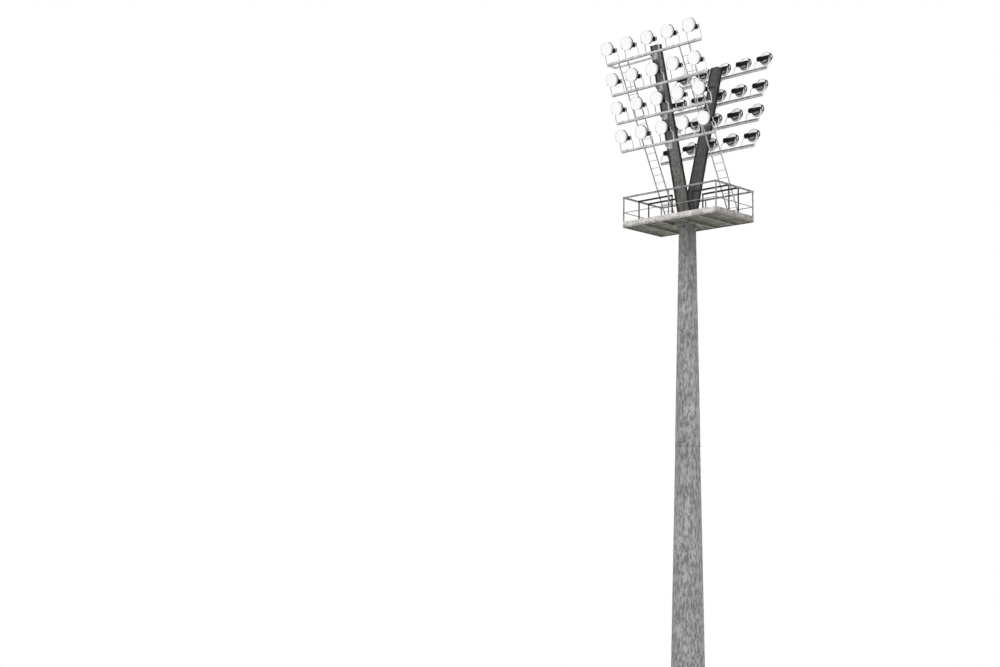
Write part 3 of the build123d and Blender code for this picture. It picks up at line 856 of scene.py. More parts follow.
@dataclass(frozen=True)
class LampGlass(LampFinish):
    """Front glass with the bright faceted reflector and lamp capsule seen through it."""

    plain: Colour = paint_colour(254, 254, 254)
    ring: Colour = paint_colour(238, 240, 241)
    border: Colour = paint_colour(216, 219, 221)
    hub: Colour = paint_colour(244, 244, 242)
    dust: Colour = paint_colour(224, 222, 215)

    @classmethod
    def of_row(cls, row: int) -> "LampGlass":
        """Return the finish of a row's glasses."""
        return cls.at_row(row, "lamp_glass", 0.28)

    def paint(self, shader: Shader) -> bpy.types.Material:
        """Build the reflector's rings behind a clear, slightly dusty glass.

        Args:
            shader: The node tree.

        Returns:
            The painted material.
        """
        radius, _ = self.radius(shader)
        rings = radius.wave(240.0)
        dust = shader.noise(7.0, 6.0, 0.65)
        colour = shader.over(self.plain, self.ring, rings * 0.5)
        colour = shader.over(colour, self.border, radius.band(0.225, 0.252, share=0.8))
        colour = shader.over(colour, self.hub, radius.band(0.052, 0.04, share=0.7))
        colour = shader.over(colour, self.dust, dust.band(0.55, 0.8, share=0.35))
        shader.relief(rings, 0.0004)
        return shader.feed(
            Base_Color=colour,
            Roughness=dust * 0.14 + 0.05,
            Coat_Weight=0.6,
            Emission_Color=colour,
            Emission_Strength=0.2,
        )


@dataclass(frozen=True)
class BlackHousing(Finish):
    """Black powder-coated castings, chalked a little in patches."""

    tint: Colour = paint_colour(8, 8, 9)
    chalk: Colour = paint_colour(30, 30, 31)

    def paint(self, shader: Shader) -> bpy.types.Material:
        """Build the orange-peel coat and its chalking.

        Args:
            shader: The node tree.

        Returns:
            The painted material.
        """
        wear = shader.noise(16.0, 6.0, 0.65)
        colour = shader.over(self.tint, self.chalk, wear.band(0.46, 0.72, share=0.6))
        shader.relief(shader.noise(240.0, 2.0), 0.0004)
        return shader.feed(Base_Color=colour, Roughness=wear * 0.3 + 0.4, Specular_IOR_Level=0.18)


@dataclass(frozen=True)
class BrightZinc(Finish):
    """Zinc on bolts and nuts, brighter than the weathered frame, with rust in patches."""

    tones: tuple[Colour, ...] = shades((104, 102, 98), (146, 146, 145), (178, 178, 178))
    rust: Colour = paint_colour(118, 76, 46)

    def paint(self, shader: Shader) -> bpy.types.Material:
        """Build the zinc and its rust.

        Args:
            shader: The node tree.

        Returns:
            The painted material.
        """
        cloud = shader.noise(40.0)
        colour = shader.ramp(cloud, self.tones, (0.36, 0.52, 0.7))
        rust = shader.noise(17.0, 6.0, 0.7).band(0.54, 0.7, share=0.6)
        colour = shader.over(colour, self.rust, rust)
        shader.relief(cloud, 0.0003)
        return shader.feed(Base_Color=colour, Roughness=cloud * 0.3 + 0.3, Metallic=0.6)


FRAME_TONES = shades((186, 186, 187), (224, 224, 225), (240, 240, 241), (150, 148, 144))
FRAME_ZINC = WeatheredSteel("frame_zinc", *FRAME_TONES, cloud_scale=4.0, rust_share=0.2)
MAST_ZINC = MastSteel(
    "mast_zinc",
    *shades((128, 128, 130), (145, 145, 147), (184, 184, 186), (98, 96, 92)),
    cloud_scale=2.2,
    spangle_scale=20.0,
    rust_share=0.12,
    streak_share=0.35,
    grain_share=0.7,
    grain_scale=14.0,
    grain_length=3.2,
)
EDGE_STEEL = EdgeSteel(
    "edge_steel",
    *shades((176, 172, 170), (214, 211, 209), (240, 237, 236), (132, 127, 120)),
    cloud_scale=2.2,
    streak_share=0.2,
    rust_share=0.2,
    grain_scale=6.0,
    grain_length=0.8,
)
YOKE_ZINC = WeatheredSteel(
    "yoke_zinc",
    *shades((216, 217, 218), (238, 239, 240), (248, 249, 250), (176, 175, 172)),
    cloud_scale=5.0,
    streak_share=0.25,
    rust_share=0.1,
)
LADDER_ZINC = WeatheredSteel(
    "ladder_zinc",
    *shades((160, 160, 160), (196, 196, 196), (216, 216, 216), (128, 125, 120)),
    cloud_scale=5.0,
    rust_share=0.2,
)
RAIL_STEEL = WeatheredSteel(
    "rail_steel",
    *shades((108, 108, 110), (146, 146, 147), (186, 186, 186), (84, 80, 75)),
    cloud_scale=5.0,
    grain_share=0.7,
)
BLACK_STEEL = WeatheredSteel(
    "black_rail_steel",
    *shades((16, 16, 17), (24, 24, 25), (42, 41, 40), (46, 38, 32)),
    cloud_scale=5.0,
    rust_share=0.2,
    metallic=0.1,
)
UNDER_STEEL = WeatheredSteel(
    "underdeck_steel",
    *shades((112, 112, 101), (146, 147, 134), (176, 176, 163), (84, 81, 69)),
    cloud_scale=4.0,
    rust_share=0.3,
)
NEAR_ARM_STEEL = ArmSteel.of_side("near_arm_steel", 1, 1.0)
# The far arm wears the near arm's steel darkened to 0.62 as painted shade.
FAR_ARM_STEEL = ArmSteel.of_side("far_arm_steel", -1, 0.62)
BLACK_CASTING = BlackHousing("black_casting")
BOLT_ZINC = BrightZinc("bolt_zinc")


@dataclass
class Wardrobe:
    """Which CAD node wears which finish: by the end of a row's node, or by a part of the name."""

    rows: tuple[tuple[str, type[Finish]], ...] = (
        ("lamp_bowls", BowlMetal),
        ("lamp_glasses", LampGlass),
        ("beams", BeamSteel),
    )
    parts: tuple[tuple[str, Finish], ...] = (
        ("foundation_plinth", PaleConcrete("plinth_concrete")),
        ("inner_guard_rails", BLACK_STEEL),
        ("platform_deck_boards", DeckTimber("deck_timber")),
        ("platform_bearers", UNDER_STEEL),
        ("mast_head_plate", UNDER_STEEL),
        ("arm_foot_plate", UNDER_STEEL),
        ("arm_near", NEAR_ARM_STEEL),
        ("arm_far", FAR_ARM_STEEL),
        ("mast", MAST_ZINC),
        ("gear_boxes", BLACK_CASTING),
        ("aiming_quadrants", BLACK_CASTING),
        ("yokes", YOKE_ZINC),
        ("guard_rails", RAIL_STEEL),
        ("ladder", LADDER_ZINC),
        ("platform", EDGE_STEEL),
        ("", FRAME_ZINC),
    )

    def choose(self, node: str) -> Finish:
        """Choose the finish of a CAD node from its name.

        Args:
            node: Name of the node.

        Returns:
            Its finish.
        """
        for ending, kind in self.rows:
            if node.startswith("row_") and node.endswith(ending):
                return kind.of_row(int(node.split("_")[1]))
        return next(finish for part, finish in self.parts if part in node)

    def dress(self, nodes: dict[str, bpy.types.Object]) -> None:
        """Give every CAD node its material.

        Args:
            nodes: The CAD nodes by name.
        """
        for name, node in nodes.items():
            material = self.choose(name).material()
            node.data.materials.clear()
            node.data.materials.append(material)
            LOG.info("%s wears %s", name, material.name)


# ---- forms --------------------------------------------------------------------------------


class Form:
    """A mesh under construction, shaped with bmesh operators."""

    def __init__(self) -> None:
        """Start an empty mesh."""
        self.mesh = bmesh.new()

    def _settle(
        self, verts: Sequence[bmesh.types.BMVert], place: Matrix, round_off: float, segments: int
    ) -> None:
        """Round a new shape's edges, then put it in place.

        Args:
            verts: Its vertices.
            place: Where it goes.
            round_off: Width of the rounding, 0 for none.
            segments: Steps of the rounding.
        """
        if round_off:
            around = {e for v in verts for e in v.link_edges if len(e.link_faces) == 2}
            before = set(self.mesh.verts) - set(verts)
            bmesh.ops.bevel(
                self.mesh,
                geom=[e for e in around if e.calc_face_angle(0) > ROUNDED_FROM],
                offset=round_off,
                offset_type="OFFSET",
                affect="EDGES",
                segments=segments,
                profile=0.5,
                material=-1,
                clamp_overlap=True,
            )
            verts = [v for v in self.mesh.verts if v not in before]
        bmesh.ops.transform(self.mesh, matrix=place, verts=list(verts))

    def block(
        self, size: Triple, place: Matrix = HERE, round_off: float = SHEARED, segments: int = 1
    ) -> "Form":
        """Add a block with rounded edges.

        Args:
            size: Its sides.
            place: Where its centre goes.
            round_off: Width of the rounding.
            segments: Steps of the rounding.

        Returns:
            This form.
        """
        made = bmesh.ops.create_cube(self.mesh, size=1.0)["verts"]
        bmesh.ops.scale(self.mesh, vec=Vector(size), verts=made)
        self._settle(made, place, round_off, segments)
        return self

    def disc(
        self,
        radius: float,
        depth: float,
        place: Matrix = HERE,
        sides: int = 16,
        round_off: float = 0.0,
        top: Optional[float] = None,
    ) -> "Form":
        """Add a disc or cone that stands on its place and grows along local Z.

        Args:
            radius: Radius at the foot.
            depth: Its height.
            place: Where its foot goes.
            sides: Sides round it.
            round_off: Width of the rounding at both ends.
            top: Radius at the top, the foot's where none is given.

        Returns:
            This form.
        """
        made = bmesh.ops.create_cone(
            self.mesh,
            cap_ends=True,
            segments=sides,
            radius1=radius,
            radius2=radius if top is None else top,
            depth=depth,
            matrix=Matrix.Translation((0, 0, depth / 2)),
        )["verts"]
        self._settle(made, place, round_off, 1)
        return self

    def spun(
        self, profile: Outline, place: Matrix = HERE, around: int = 48, angle: float = math.tau
    ) -> "Form":
        """Spin a closed outline about local Z.

        Args:
            profile: Radius and height of the outline's corners.
            place: Where the axis goes.
            around: Steps of the spin.
            angle: Angle of the spin; a part turn is closed at its ends.

        Returns:
            This form.
        """
        before = set(self.mesh.verts)
        points = [self.mesh.verts.new((radius, 0, height)) for radius, height in profile]
        geometry: list[object] = list(points)
        geometry += [self.mesh.edges.new(pair) for pair in zip(points, points[1:] + points[:1])]
        whole = angle == math.tau
        if not whole:
            geometry.append(self.mesh.faces.new(points))
        bmesh.ops.spin(
            self.mesh,
            geom=geometry,
            cent=(0, 0, 0),
            axis=(0, 0, 1),
            angle=angle,
            steps=around,
            use_merge=whole,
        )
        made = [v for v in self.mesh.verts if v not in before]
        bmesh.ops.remove_doubles(self.mesh, verts=made, dist=1e-6)
        made = [v for v in self.mesh.verts if v not in before]
        faces = list({f for v in made for f in v.link_faces})
        bmesh.ops.recalc_face_normals(self.mesh, faces=faces)
        bmesh.ops.transform(self.mesh, matrix=place, verts=made)
        return self

    def plate(
        self, outline: Outline, depth: float, place: Matrix, round_off: float = SHEARED
    ) -> "Form":
        """Add a flat plate of any outline, centred on its place's XY plane.

        Args:
            outline: Corners of the plate in the place's X and Y.
            depth: Its thickness.
            place: Where it goes.
            round_off: Width of the rounding.

        Returns:
            This form.
        """
        points = [self.mesh.verts.new((x, y, -depth / 2)) for x, y in outline]
        face = bmesh.ops.contextual_create(self.mesh, geom=points)["faces"][0]
        grown = bmesh.ops.extrude_face_region(self.mesh, geom=[face], use_keep_orig=True)["geom"]
        raised = [g for g in grown if isinstance(g, bmesh.types.BMVert)]
        bmesh.ops.translate(self.mesh, vec=(0, 0, depth), verts=raised)
        made = points + raised
        faces = list({f for v in made for f in v.link_faces})
        bmesh.ops.recalc_face_normals(self.mesh, faces=faces)
        self._settle(made, place, round_off, 1)
        return self

    def bolt(self, size: float, place: Matrix = HERE, head: float = 0.65) -> "Form":
        """Add a hexagon head on its washer, standing on its place along local Z.

        Args:
            size: Thread diameter.
            place: Where its foot goes.
            head: Height of the head in diameters.

        Returns:
            This form.
        """
        washer = WASHER_HEIGHT * size
        self.disc(WASHER_RADIUS * size, washer, place)
        seat = place @ at(0, 0, washer)
        return self.disc(HEAD_RADIUS * size, head * size, seat, 6, HEAD_ROUND * size)

    def repeated(self, places: Sequence[Matrix]) -> "Form":
        """Copy the whole form to each place.

        Args:
            places: Where the copies go.

        Returns:
            A new form of all the copies.
        """
        template = bpy.data.meshes.new("template")
        self.mesh.to_mesh(template)
        self.mesh.free()
        grown = Form()
        for place in places:
            first = len(grown.mesh.verts)
            grown.mesh.from_mesh(template)
            grown.mesh.verts.ensure_lookup_table()
            bmesh.ops.transform(grown.mesh, matrix=place, verts=grown.mesh.verts[first:])
        bpy.data.meshes.remove(template)
        return grown

    def thing(self, name: str, material: bpy.types.Material) -> bpy.types.Object:
        """Make the form an object of the scene.

        Args:
            name: Name of the object.
            material: Its material.

        Returns:
            The object.
        """
        mesh = bpy.data.meshes.new(name)
        self.mesh.to_mesh(mesh)
        self.mesh.free()
        mesh.materials.append(material)
        made = bpy.data.objects.new(name, mesh)
        bpy.context.scene.collection.objects.link(made)
        return made

    def piece(self, name: str, slot: Slot, finish: Finish) -> bpy.types.Object:
        """Make the form a piece of the pylon.

        Args:
            name: Name of the piece.
            slot: The record's material slot; not used.
            finish: Its finish.

        Returns:
            The piece.
        """
        made = self.thing(name, finish.material())
        made.data.polygons.foreach_set("use_smooth", [True] * len(made.data.polygons))
        made.data.set_sharp_from_angle(angle=SHARP_FROM)
        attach(made, BODY)
        LOG.info("%s: %d faces", name, len(made.data.polygons))
        return made


# ---- sub-assemblies -----------------------------------------------------------------------


def bolts(name: str, size: float, places: Sequence[Matrix], zinc: Finish) -> None:
    """Make a piece of like bolts, one at each place."""
    Form().bolt(size).repeated(places).piece(name, Slot.LIGHT, zinc)


@dataclass
class Foundation:
    """Plinth and anchor ring: the anchor rods with their nuts."""

    zinc: Finish = BOLT_ZINC
    rods: int = 24
    circle: float = 0.7845
    radius: float = 0.015
    flange_top: float = 0.25
    ring_top: float = 0.55
    overrun: float = 0.09
    nut: float = 0.03
    nut_height: float = 0.8

    def build(self) -> None:
        """Make the anchor rods, each with a nut on the ring and one on the flange."""
        low, high = at(self.circle, 0, self.flange_top), at(self.circle, 0, self.ring_top)
        length = self.ring_top + self.overrun - self.flange_top
        rod = Form().disc(self.radius, length, low, 10, TURNED)
        rod.bolt(self.nut, high, self.nut_height).bolt(self.nut, low, self.nut_height)
        step = math.tau / self.rods
        turns = [Matrix.Rotation(step * (n + 0.5), 4, "Z") for n in range(self.rods)]
        rod.repeated(turns).piece("anchor_rods", Slot.LIGHT, self.zinc)


@dataclass
class Mast:
    """Mast tubes: weld beads at the slip joints, long seams, the service door and head bolts."""

    finish: Finish = MAST_ZINC
    under: Finish = UNDER_STEEL
    zinc: Finish = BOLT_ZINC
    foot_z: float = 0.25
    foot_radius: float = 0.75
    slip: float = 0.0105
    bead: float = 0.007
    seam: Pair = (0.007, 0.014)
    seam_gap: float = 0.06
    seam_lift: float = 0.01
    seam_round: float = 0.0025
    first_seam: float = 118.0
    seam_turn: float = 31.0
    door: Pair = (1.05, 1.95)
    door_half_angle: float = 0.24
    door_proud: float = 0.012
    frame_width: float = 0.05
    frame_angle: float = 0.07
    bury: float = 0.004
    lock: Pair = (0.02, 0.008)
    lock_key: Pair = (0.009, 0.014)
    lock_inset: float = 0.14
    lock_share: float = 0.72
    knuckle: Pair = (0.011, 0.09)
    knuckle_angle: float = 0.01
    hinge_inset: float = 0.1
    head_bolt: float = 0.024
    head_bolt_spots: Outline = ((0.48, 0.12), (0.48, 0.34), (0.3, 0.38))
    skirt: Triple = (0.812, 0.01, 0.099)
    skirt_out: float = 0.405
    stiffener: Triple = (0.012, 0.02, 0.08)
    stiffener_out: float = 0.419

    def radius_at(self, height: float) -> float:
        """Work out the outer radius of the lower tube.

        Args:
            height: Height.

        Returns:
            The radius.
        """
        top, radius = FRAME.mast_joints[0]
        share = (height - self.foot_z) / (top - self.foot_z)
        return self.foot_radius + share * (radius - self.slip - self.foot_radius)

    def seams(self) -> None:
        """Make the weld bead round each slip joint and the long seam of each tube."""
        beads, b = Form(), self.bead
        for z, radius in FRAME.mast_joints:
            inner, outer = radius - b, radius + b
            outline = [(inner, z + b), (outer, z + 0.6 * b), (outer, z), (inner, z - 1.6 * b)]
            beads.spun(outline, around=64)
        ends = [(self.foot_z, self.foot_radius), *FRAME.mast_joints, FRAME.mast_head]
        slips = (self.slip, self.slip, 0.0)
        for number, slip in enumerate(slips):
            (low_z, low_r), (high_z, high_r) = ends[number : number + 2]
            top_r = high_r - slip
            tilt = math.degrees(math.atan2(low_r - top_r, high_z - low_z))
            height = (low_z + high_z) / 2 + self.seam_lift
            middle = at((low_r + top_r) / 2, 0, height, (0, -tilt, 0))
            turn = at(0, 0, 0, (0, 0, self.first_seam + self.seam_turn * number))
            size = (*self.seam, high_z - low_z - self.seam_gap)
            beads.block(size, turn @ middle, self.seam_round)
        beads.piece("mast_weld_beads", Slot.MAST, self.finish)

    def door_plate(self, name: str, border: float, wider: float, proud: float) -> None:
        """Make a curved plate on the mast's lower tube, centred on -Y.

        Args:
            name: Name of the piece.
            border: How far it reaches past the door at top and bottom.
            wider: How far it reaches past the door on each side, in radians.
            proud: How far it stands off the tube.
        """
        low, high = self.door[0] - border, self.door[1] + border
        half_angle = self.door_half_angle + wider
        low_r, high_r = self.radius_at(low), self.radius_at(high)
        outline = [(low_r - self.bury, low), (low_r + proud, low)]
        outline += [(high_r + proud, high), (high_r - self.bury, high)]
        start = Matrix.Rotation(-math.pi / 2 - half_angle, 4, "Z")
        Form().spun(outline, start, 12, 2 * half_angle).piece(name, Slot.MAST, self.finish)

    def on_door(self, height: float, angle: float, turn: Triple = (0, 0, 0)) -> Matrix:
        """Return a place on the door's outside, at an angle from its middle in radians."""
        out = self.radius_at(height) + self.door_proud
        return Matrix.Rotation(angle, 4, "Z") @ at(0, -out, height, turn)

    def door_parts(self) -> None:
        """Make the service door: frame, leaf, two locks and three hinge knuckles."""
        frame = (self.frame_width, self.frame_angle, self.door_proud / 2)
        self.door_plate("mast_door_frame", *frame)
        self.door_plate("mast_door_leaf", 0, 0, self.door_proud)
        fittings = Form()
        low, high = self.door
        for height in (low + self.lock_inset, high - self.lock_inset):
            lock = self.on_door(height, self.door_half_angle * self.lock_share, (90, 0, 0))
            lock = lock @ at(0, 0, -SHEARED)
            fittings.disc(*self.lock, lock, 20, TURNED).disc(*self.lock_key, lock, 3, SHEARED)
        for height in (low + self.hinge_inset, (low + high) / 2, high - self.hinge_inset):
            knuckle = self.on_door(height, -self.door_half_angle - self.knuckle_angle)
            knuckle = knuckle @ at(0, 0, -self.knuckle[1] / 2)
            fittings.disc(*self.knuckle, knuckle, 12, TURNED)
        fittings.piece("mast_door_fittings", Slot.LIGHT, self.zinc)

    def head(self) -> None:
        """Make the bolts that hold the bearers to the head plate, and the closing plates."""
        places = corners(self.head_bolt_spots, FRAME.mast_head[0], (180, 0, 0))
        bolts("head_plate_bolts", self.head_bolt, places, self.zinc)
        middle = FRAME.head_plate_top + FRAME.edge_depth / 2
        skirt = Form().block(self.skirt, at(0, self.skirt_out, middle), FILED)
        skirt.block(self.stiffener, at(0, self.stiffener_out, middle), FILED)
        skirt.repeated([HERE, HALF_TURN]).piece("head_skirt_plates", Slot.MAST, self.under)

    def build(self) -> None:
        """Make every fitting of the mast."""
        self.seams()
        self.door_parts()
        self.head()


@dataclass
class Platform:
    """Platform and guard rails: fixings of boards, toe boards and posts."""

    zinc: Finish = BOLT_ZINC
    edge: Finish = EDGE_STEEL
    rail: Finish = RAIL_STEEL
    black: Finish = BLACK_STEEL
    boards: int = 9
    board_gap: float = 0.01
    bearers: int = 4
    bearer_spacing: float = 0.9
    arm_foot: float = 0.53
    screw: Pair = (0.013, 0.004)
    screw_top: float = 0.009
    screw_share: float = 0.28
    toe_bolt: float = 0.012
    toe_bolts: tuple[int, int] = (9, 5)
    toe_pitch: float = 0.53
    toe_drop: float = 0.01
    channel_end: Triple = (0.004, 0.042, 0.086)
    end_inset: Pair = (0.0085, 0.0325)
    post_inset: float = 0.025
    post_shift: float = 0.028
    post_plate: Triple = (0.1, 0.07, 0.006)
    plate_shift: float = 0.01
    post_bolt: float = 0.01
    post_bolt_spot: Pair = (0.036, 0.03)
    inner_plate: Triple = (0.09, 0.09, 0.006)
    inner_bolt_spot: Pair = (0.033, 0.033)
    inner_offset: float = 0.31
    inner_posts: Pair = (0.575, 2.1)

    def toe_board_bolts(self) -> None:
        """Make the bolts that hold the toe boards to the edge channels."""
        z = FRAME.floor_z - FRAME.deck_thickness - self.toe_drop
        half_x, half_y = FRAME.platform_length / 2, FRAME.platform_width / 2
        long_side, short_side = [spread(count, self.toe_pitch) for count in self.toe_bolts]
        places = []
        for side in SIDES:
            places += [at(x, side * half_y, z, (-90 * side, 0, 0)) for x in long_side]
            places += [at(side * half_x, y, z, (0, 90 * side, 0)) for y in short_side]
        bolts("toe_board_bolts", self.toe_bolt, places, self.zinc)

    def channel_ends(self) -> None:
        """Make the plates that close the long edge channels at the platform's corners."""
        out = FRAME.platform_length / 2 - self.end_inset[0]
        across = FRAME.platform_width / 2 - self.end_inset[1]
        middle = FRAME.head_plate_top + FRAME.edge_depth / 2
        caps = Form().block(self.channel_end).repeated(corners([(out, across)], middle))
        caps.piece("channel_end_plates", Slot.EDGE, self.edge)

    def board_screws(self) -> None:
        """Make the coach screws of the deck boards over each bearer, clear of the arms' foot."""
        pitch = (FRAME.platform_width - self.board_gap) / self.boards
        aside = pitch * self.screw_share
        places = [
            at(x, y + side * aside, FRAME.floor_z)
            for x in spread(self.bearers, self.bearer_spacing)
            for y in spread(self.boards, pitch)
            for side in SIDES
            if max(abs(x), abs(y)) > self.arm_foot
        ]
        screw = Form().disc(*self.screw, sides=12, round_off=FILED, top=self.screw_top)
        screw.repeated(places).piece("deck_board_screws", Slot.LIGHT, self.zinc)

    def post_feet(self) -> None:
        """Make a foot plate with two bolts at each guard rail post."""
        edge_x = FRAME.platform_length / 2 - self.post_inset
        edge_y = FRAME.platform_width / 2 - self.post_inset
        thick = self.post_plate[2]
        foot = Form().block(self.post_plate, at(0, self.plate_shift, thick / 2))
        x, y = self.post_bolt_spot
        for side in SIDES:
            foot.bolt(self.post_bolt, at(side * x, y, thick))
        places = [
            at(along * (edge_x - self.post_shift), side * edge_y, FRAME.floor_z, (0, 0, turn))
            for along in (-1, 0, 1)
            for side, turn in ((-1, 0), (1, 180))
        ]
        foot.repeated(places).piece("guard_rail_post_feet", Slot.RAIL, self.rail)

    def inner_feet(self) -> None:
        """Make the foot plates of the inner rails' posts."""
        thick = self.inner_plate[2]
        foot = Form().block(self.inner_plate, at(0, 0, thick / 2))
        for place in corners([self.inner_bolt_spot], thick):
            foot.bolt(self.post_bolt, place)
        places = corners([(x, self.inner_offset) for x in self.inner_posts], FRAME.floor_z)
        foot.repeated(places).piece("inner_rail_post_feet", Slot.BLACK, self.black)

    def build(self) -> None:
        """Make every fitting of the platform."""
        self.toe_board_bolts()
        self.channel_ends()
        self.board_screws()
        self.post_feet()
        self.inner_feet()


@dataclass
class Arms:
    """Leaning arms: foot gussets, bolts, cap bolts and hood rivets."""

    near: Finish = NEAR_ARM_STEEL
    far: Finish = FAR_ARM_STEEL
    zinc: Finish = BOLT_ZINC
    foot_top: float = 27.93
    gusset: Outline = ((0, 0), (0.26, 0), (0.26, 0.03), (0.03, 0.34), (0, 0.34))
    gusset_thick: float = 0.014
    gusset_spread: float = 0.4
    foot_bolt: float = 0.026
    foot_bolt_spots: Outline = ((0.46, 0.12), (0.46, 0.36), (0.3, 0.38))
    cap_bolt: float = 0.014
    cap_bolt_spot: Pair = (0.14, 0.115)
    cap_top: float = 0.025
    rivets: int = 6
    rivet: Pair = (0.012, 0.006)
    rivet_top: float = 0.008
    rivet_back: float = 0.03
    first_rivet: float = 0.08
    rivet_pitch: float = 0.14
    rivet_slant: float = 0.0037
    hood_proud: float = 0.008

    def foot(self) -> None:
        """Make the gussets beside the arms and the foot plate's bolts."""
        gussets = Form()
        out = FRAME.arm_width / 2 - self.gusset_thick
        for side, turn in ((-1, 180), (1, 0)):
            for y in spread(2, self.gusset_spread):
                place = at(side * out, y, self.foot_top, (90, 0, turn))
                gussets.plate(self.gusset, self.gusset_thick, place)
        gussets.piece("arm_foot_gussets", Slot.ARM, self.near)
        places = corners(self.foot_bolt_spots, self.foot_top)
        bolts("arm_foot_bolts", self.foot_bolt, places, self.zinc)

    def heads(self) -> None:
        """Make the cap's bolts and the hood's rivets."""
        top = FRAME.arm(FRAME.arm_top_rise)
        middle = top @ at(0, (FRAME.arm_top_depth - FRAME.arm_depth) / 2, 0)
        places = [middle @ spot for spot in corners([self.cap_bolt_spot], self.cap_top)]
        bolts("arm_cap_bolts", self.cap_bolt, places, self.zinc)
        back = FRAME.arm_top_depth - FRAME.arm_depth / 2 + self.rivet_back
        out = FRAME.arm_width / 2 + self.hood_proud
        hood = []
        for side in SIDES:
            for n in range(self.rivets):
                down = self.first_rivet + self.rivet_pitch * n
                spot = at(side * out, back + self.rivet_slant * n, -down, (0, 90 * side, 0))
                hood.append(HALF_TURN @ top @ spot)
        rivet = Form().disc(*self.rivet, sides=10, round_off=TURNED, top=self.rivet_top)
        rivet.repeated(hood).piece("arm_hood_rivets", Slot.ARM, self.far)

    def build(self) -> None:
        """Make every fitting of the arms."""
        self.foot()
        self.heads()


@dataclass
class RowBeams:
    """Row beams and brackets: end plates, conduits and bolts."""

    steel: Finish = FRAME_ZINC
    zinc: Finish = BOLT_ZINC
    end_plate: float = 0.005
    conduit_inset: float = 0.12
    conduit_radius: float = 0.014
    conduit_spot: Pair = (0.008, -0.022)
    saddles: int = 9
    saddle_pitch: float = 0.495
    saddle: Triple = (0.02, 0.036, 0.034)
    saddle_drop: float = 0.002
    bracket_bolt: float = 0.016
    bolt_columns: Pair = (0.085, 0.133)
    bolt_rows: Triple = (0.025, -0.11, -0.22)
    plate_inset: float = 0.01

    def ends(self) -> None:
        """Make a plate on each end of each beam."""
        out = (FRAME.beam_length + self.end_plate) / 2
        cap = Form().block((self.end_plate, FRAME.beam_width, FRAME.beam_depth))
        places = [row @ at(side * out, 0, 0) for row in FRAME.rows() for side in SIDES]
        cap.repeated(both_panels(places)).piece("beam_end_plates", Slot.LIGHT, self.steel)

    def conduits(self) -> None:
        """Make the wiring conduit that lies in each beam's channel, with its saddles."""
        half = FRAME.beam_length / 2 - self.conduit_inset
        y, z = self.conduit_spot
        pipe = Form().disc(self.conduit_radius, 2 * half, at(-half, y, z, (0, 90, 0)), 12)
        for x in spread(self.saddles, self.saddle_pitch):
            pipe.block(self.saddle, at(x, y, z - self.saddle_drop), CAST)
        pipe.repeated(both_panels(FRAME.rows())).piece("beam_conduits", Slot.LIGHT, self.steel)

    def bracket_bolts(self) -> None:
        """Make the bolts of the bracket plates, through the plate's ends, and under the beams."""
        face = FRAME.beam_standoff + FRAME.beam_width / 2 - self.plate_inset
        places = [
            row @ at(side * out, face, height, (90, 0, 0))
            for row in FRAME.rows()
            for side in SIDES
            for height in self.bolt_rows
            for out in self.bolt_columns
        ]
        bolts("bracket_bolts", self.bracket_bolt, both_panels(places), self.zinc)

    def build(self) -> None:
        """Make every fitting of the row beams."""
        self.ends()
        self.conduits()
        self.bracket_bolts()


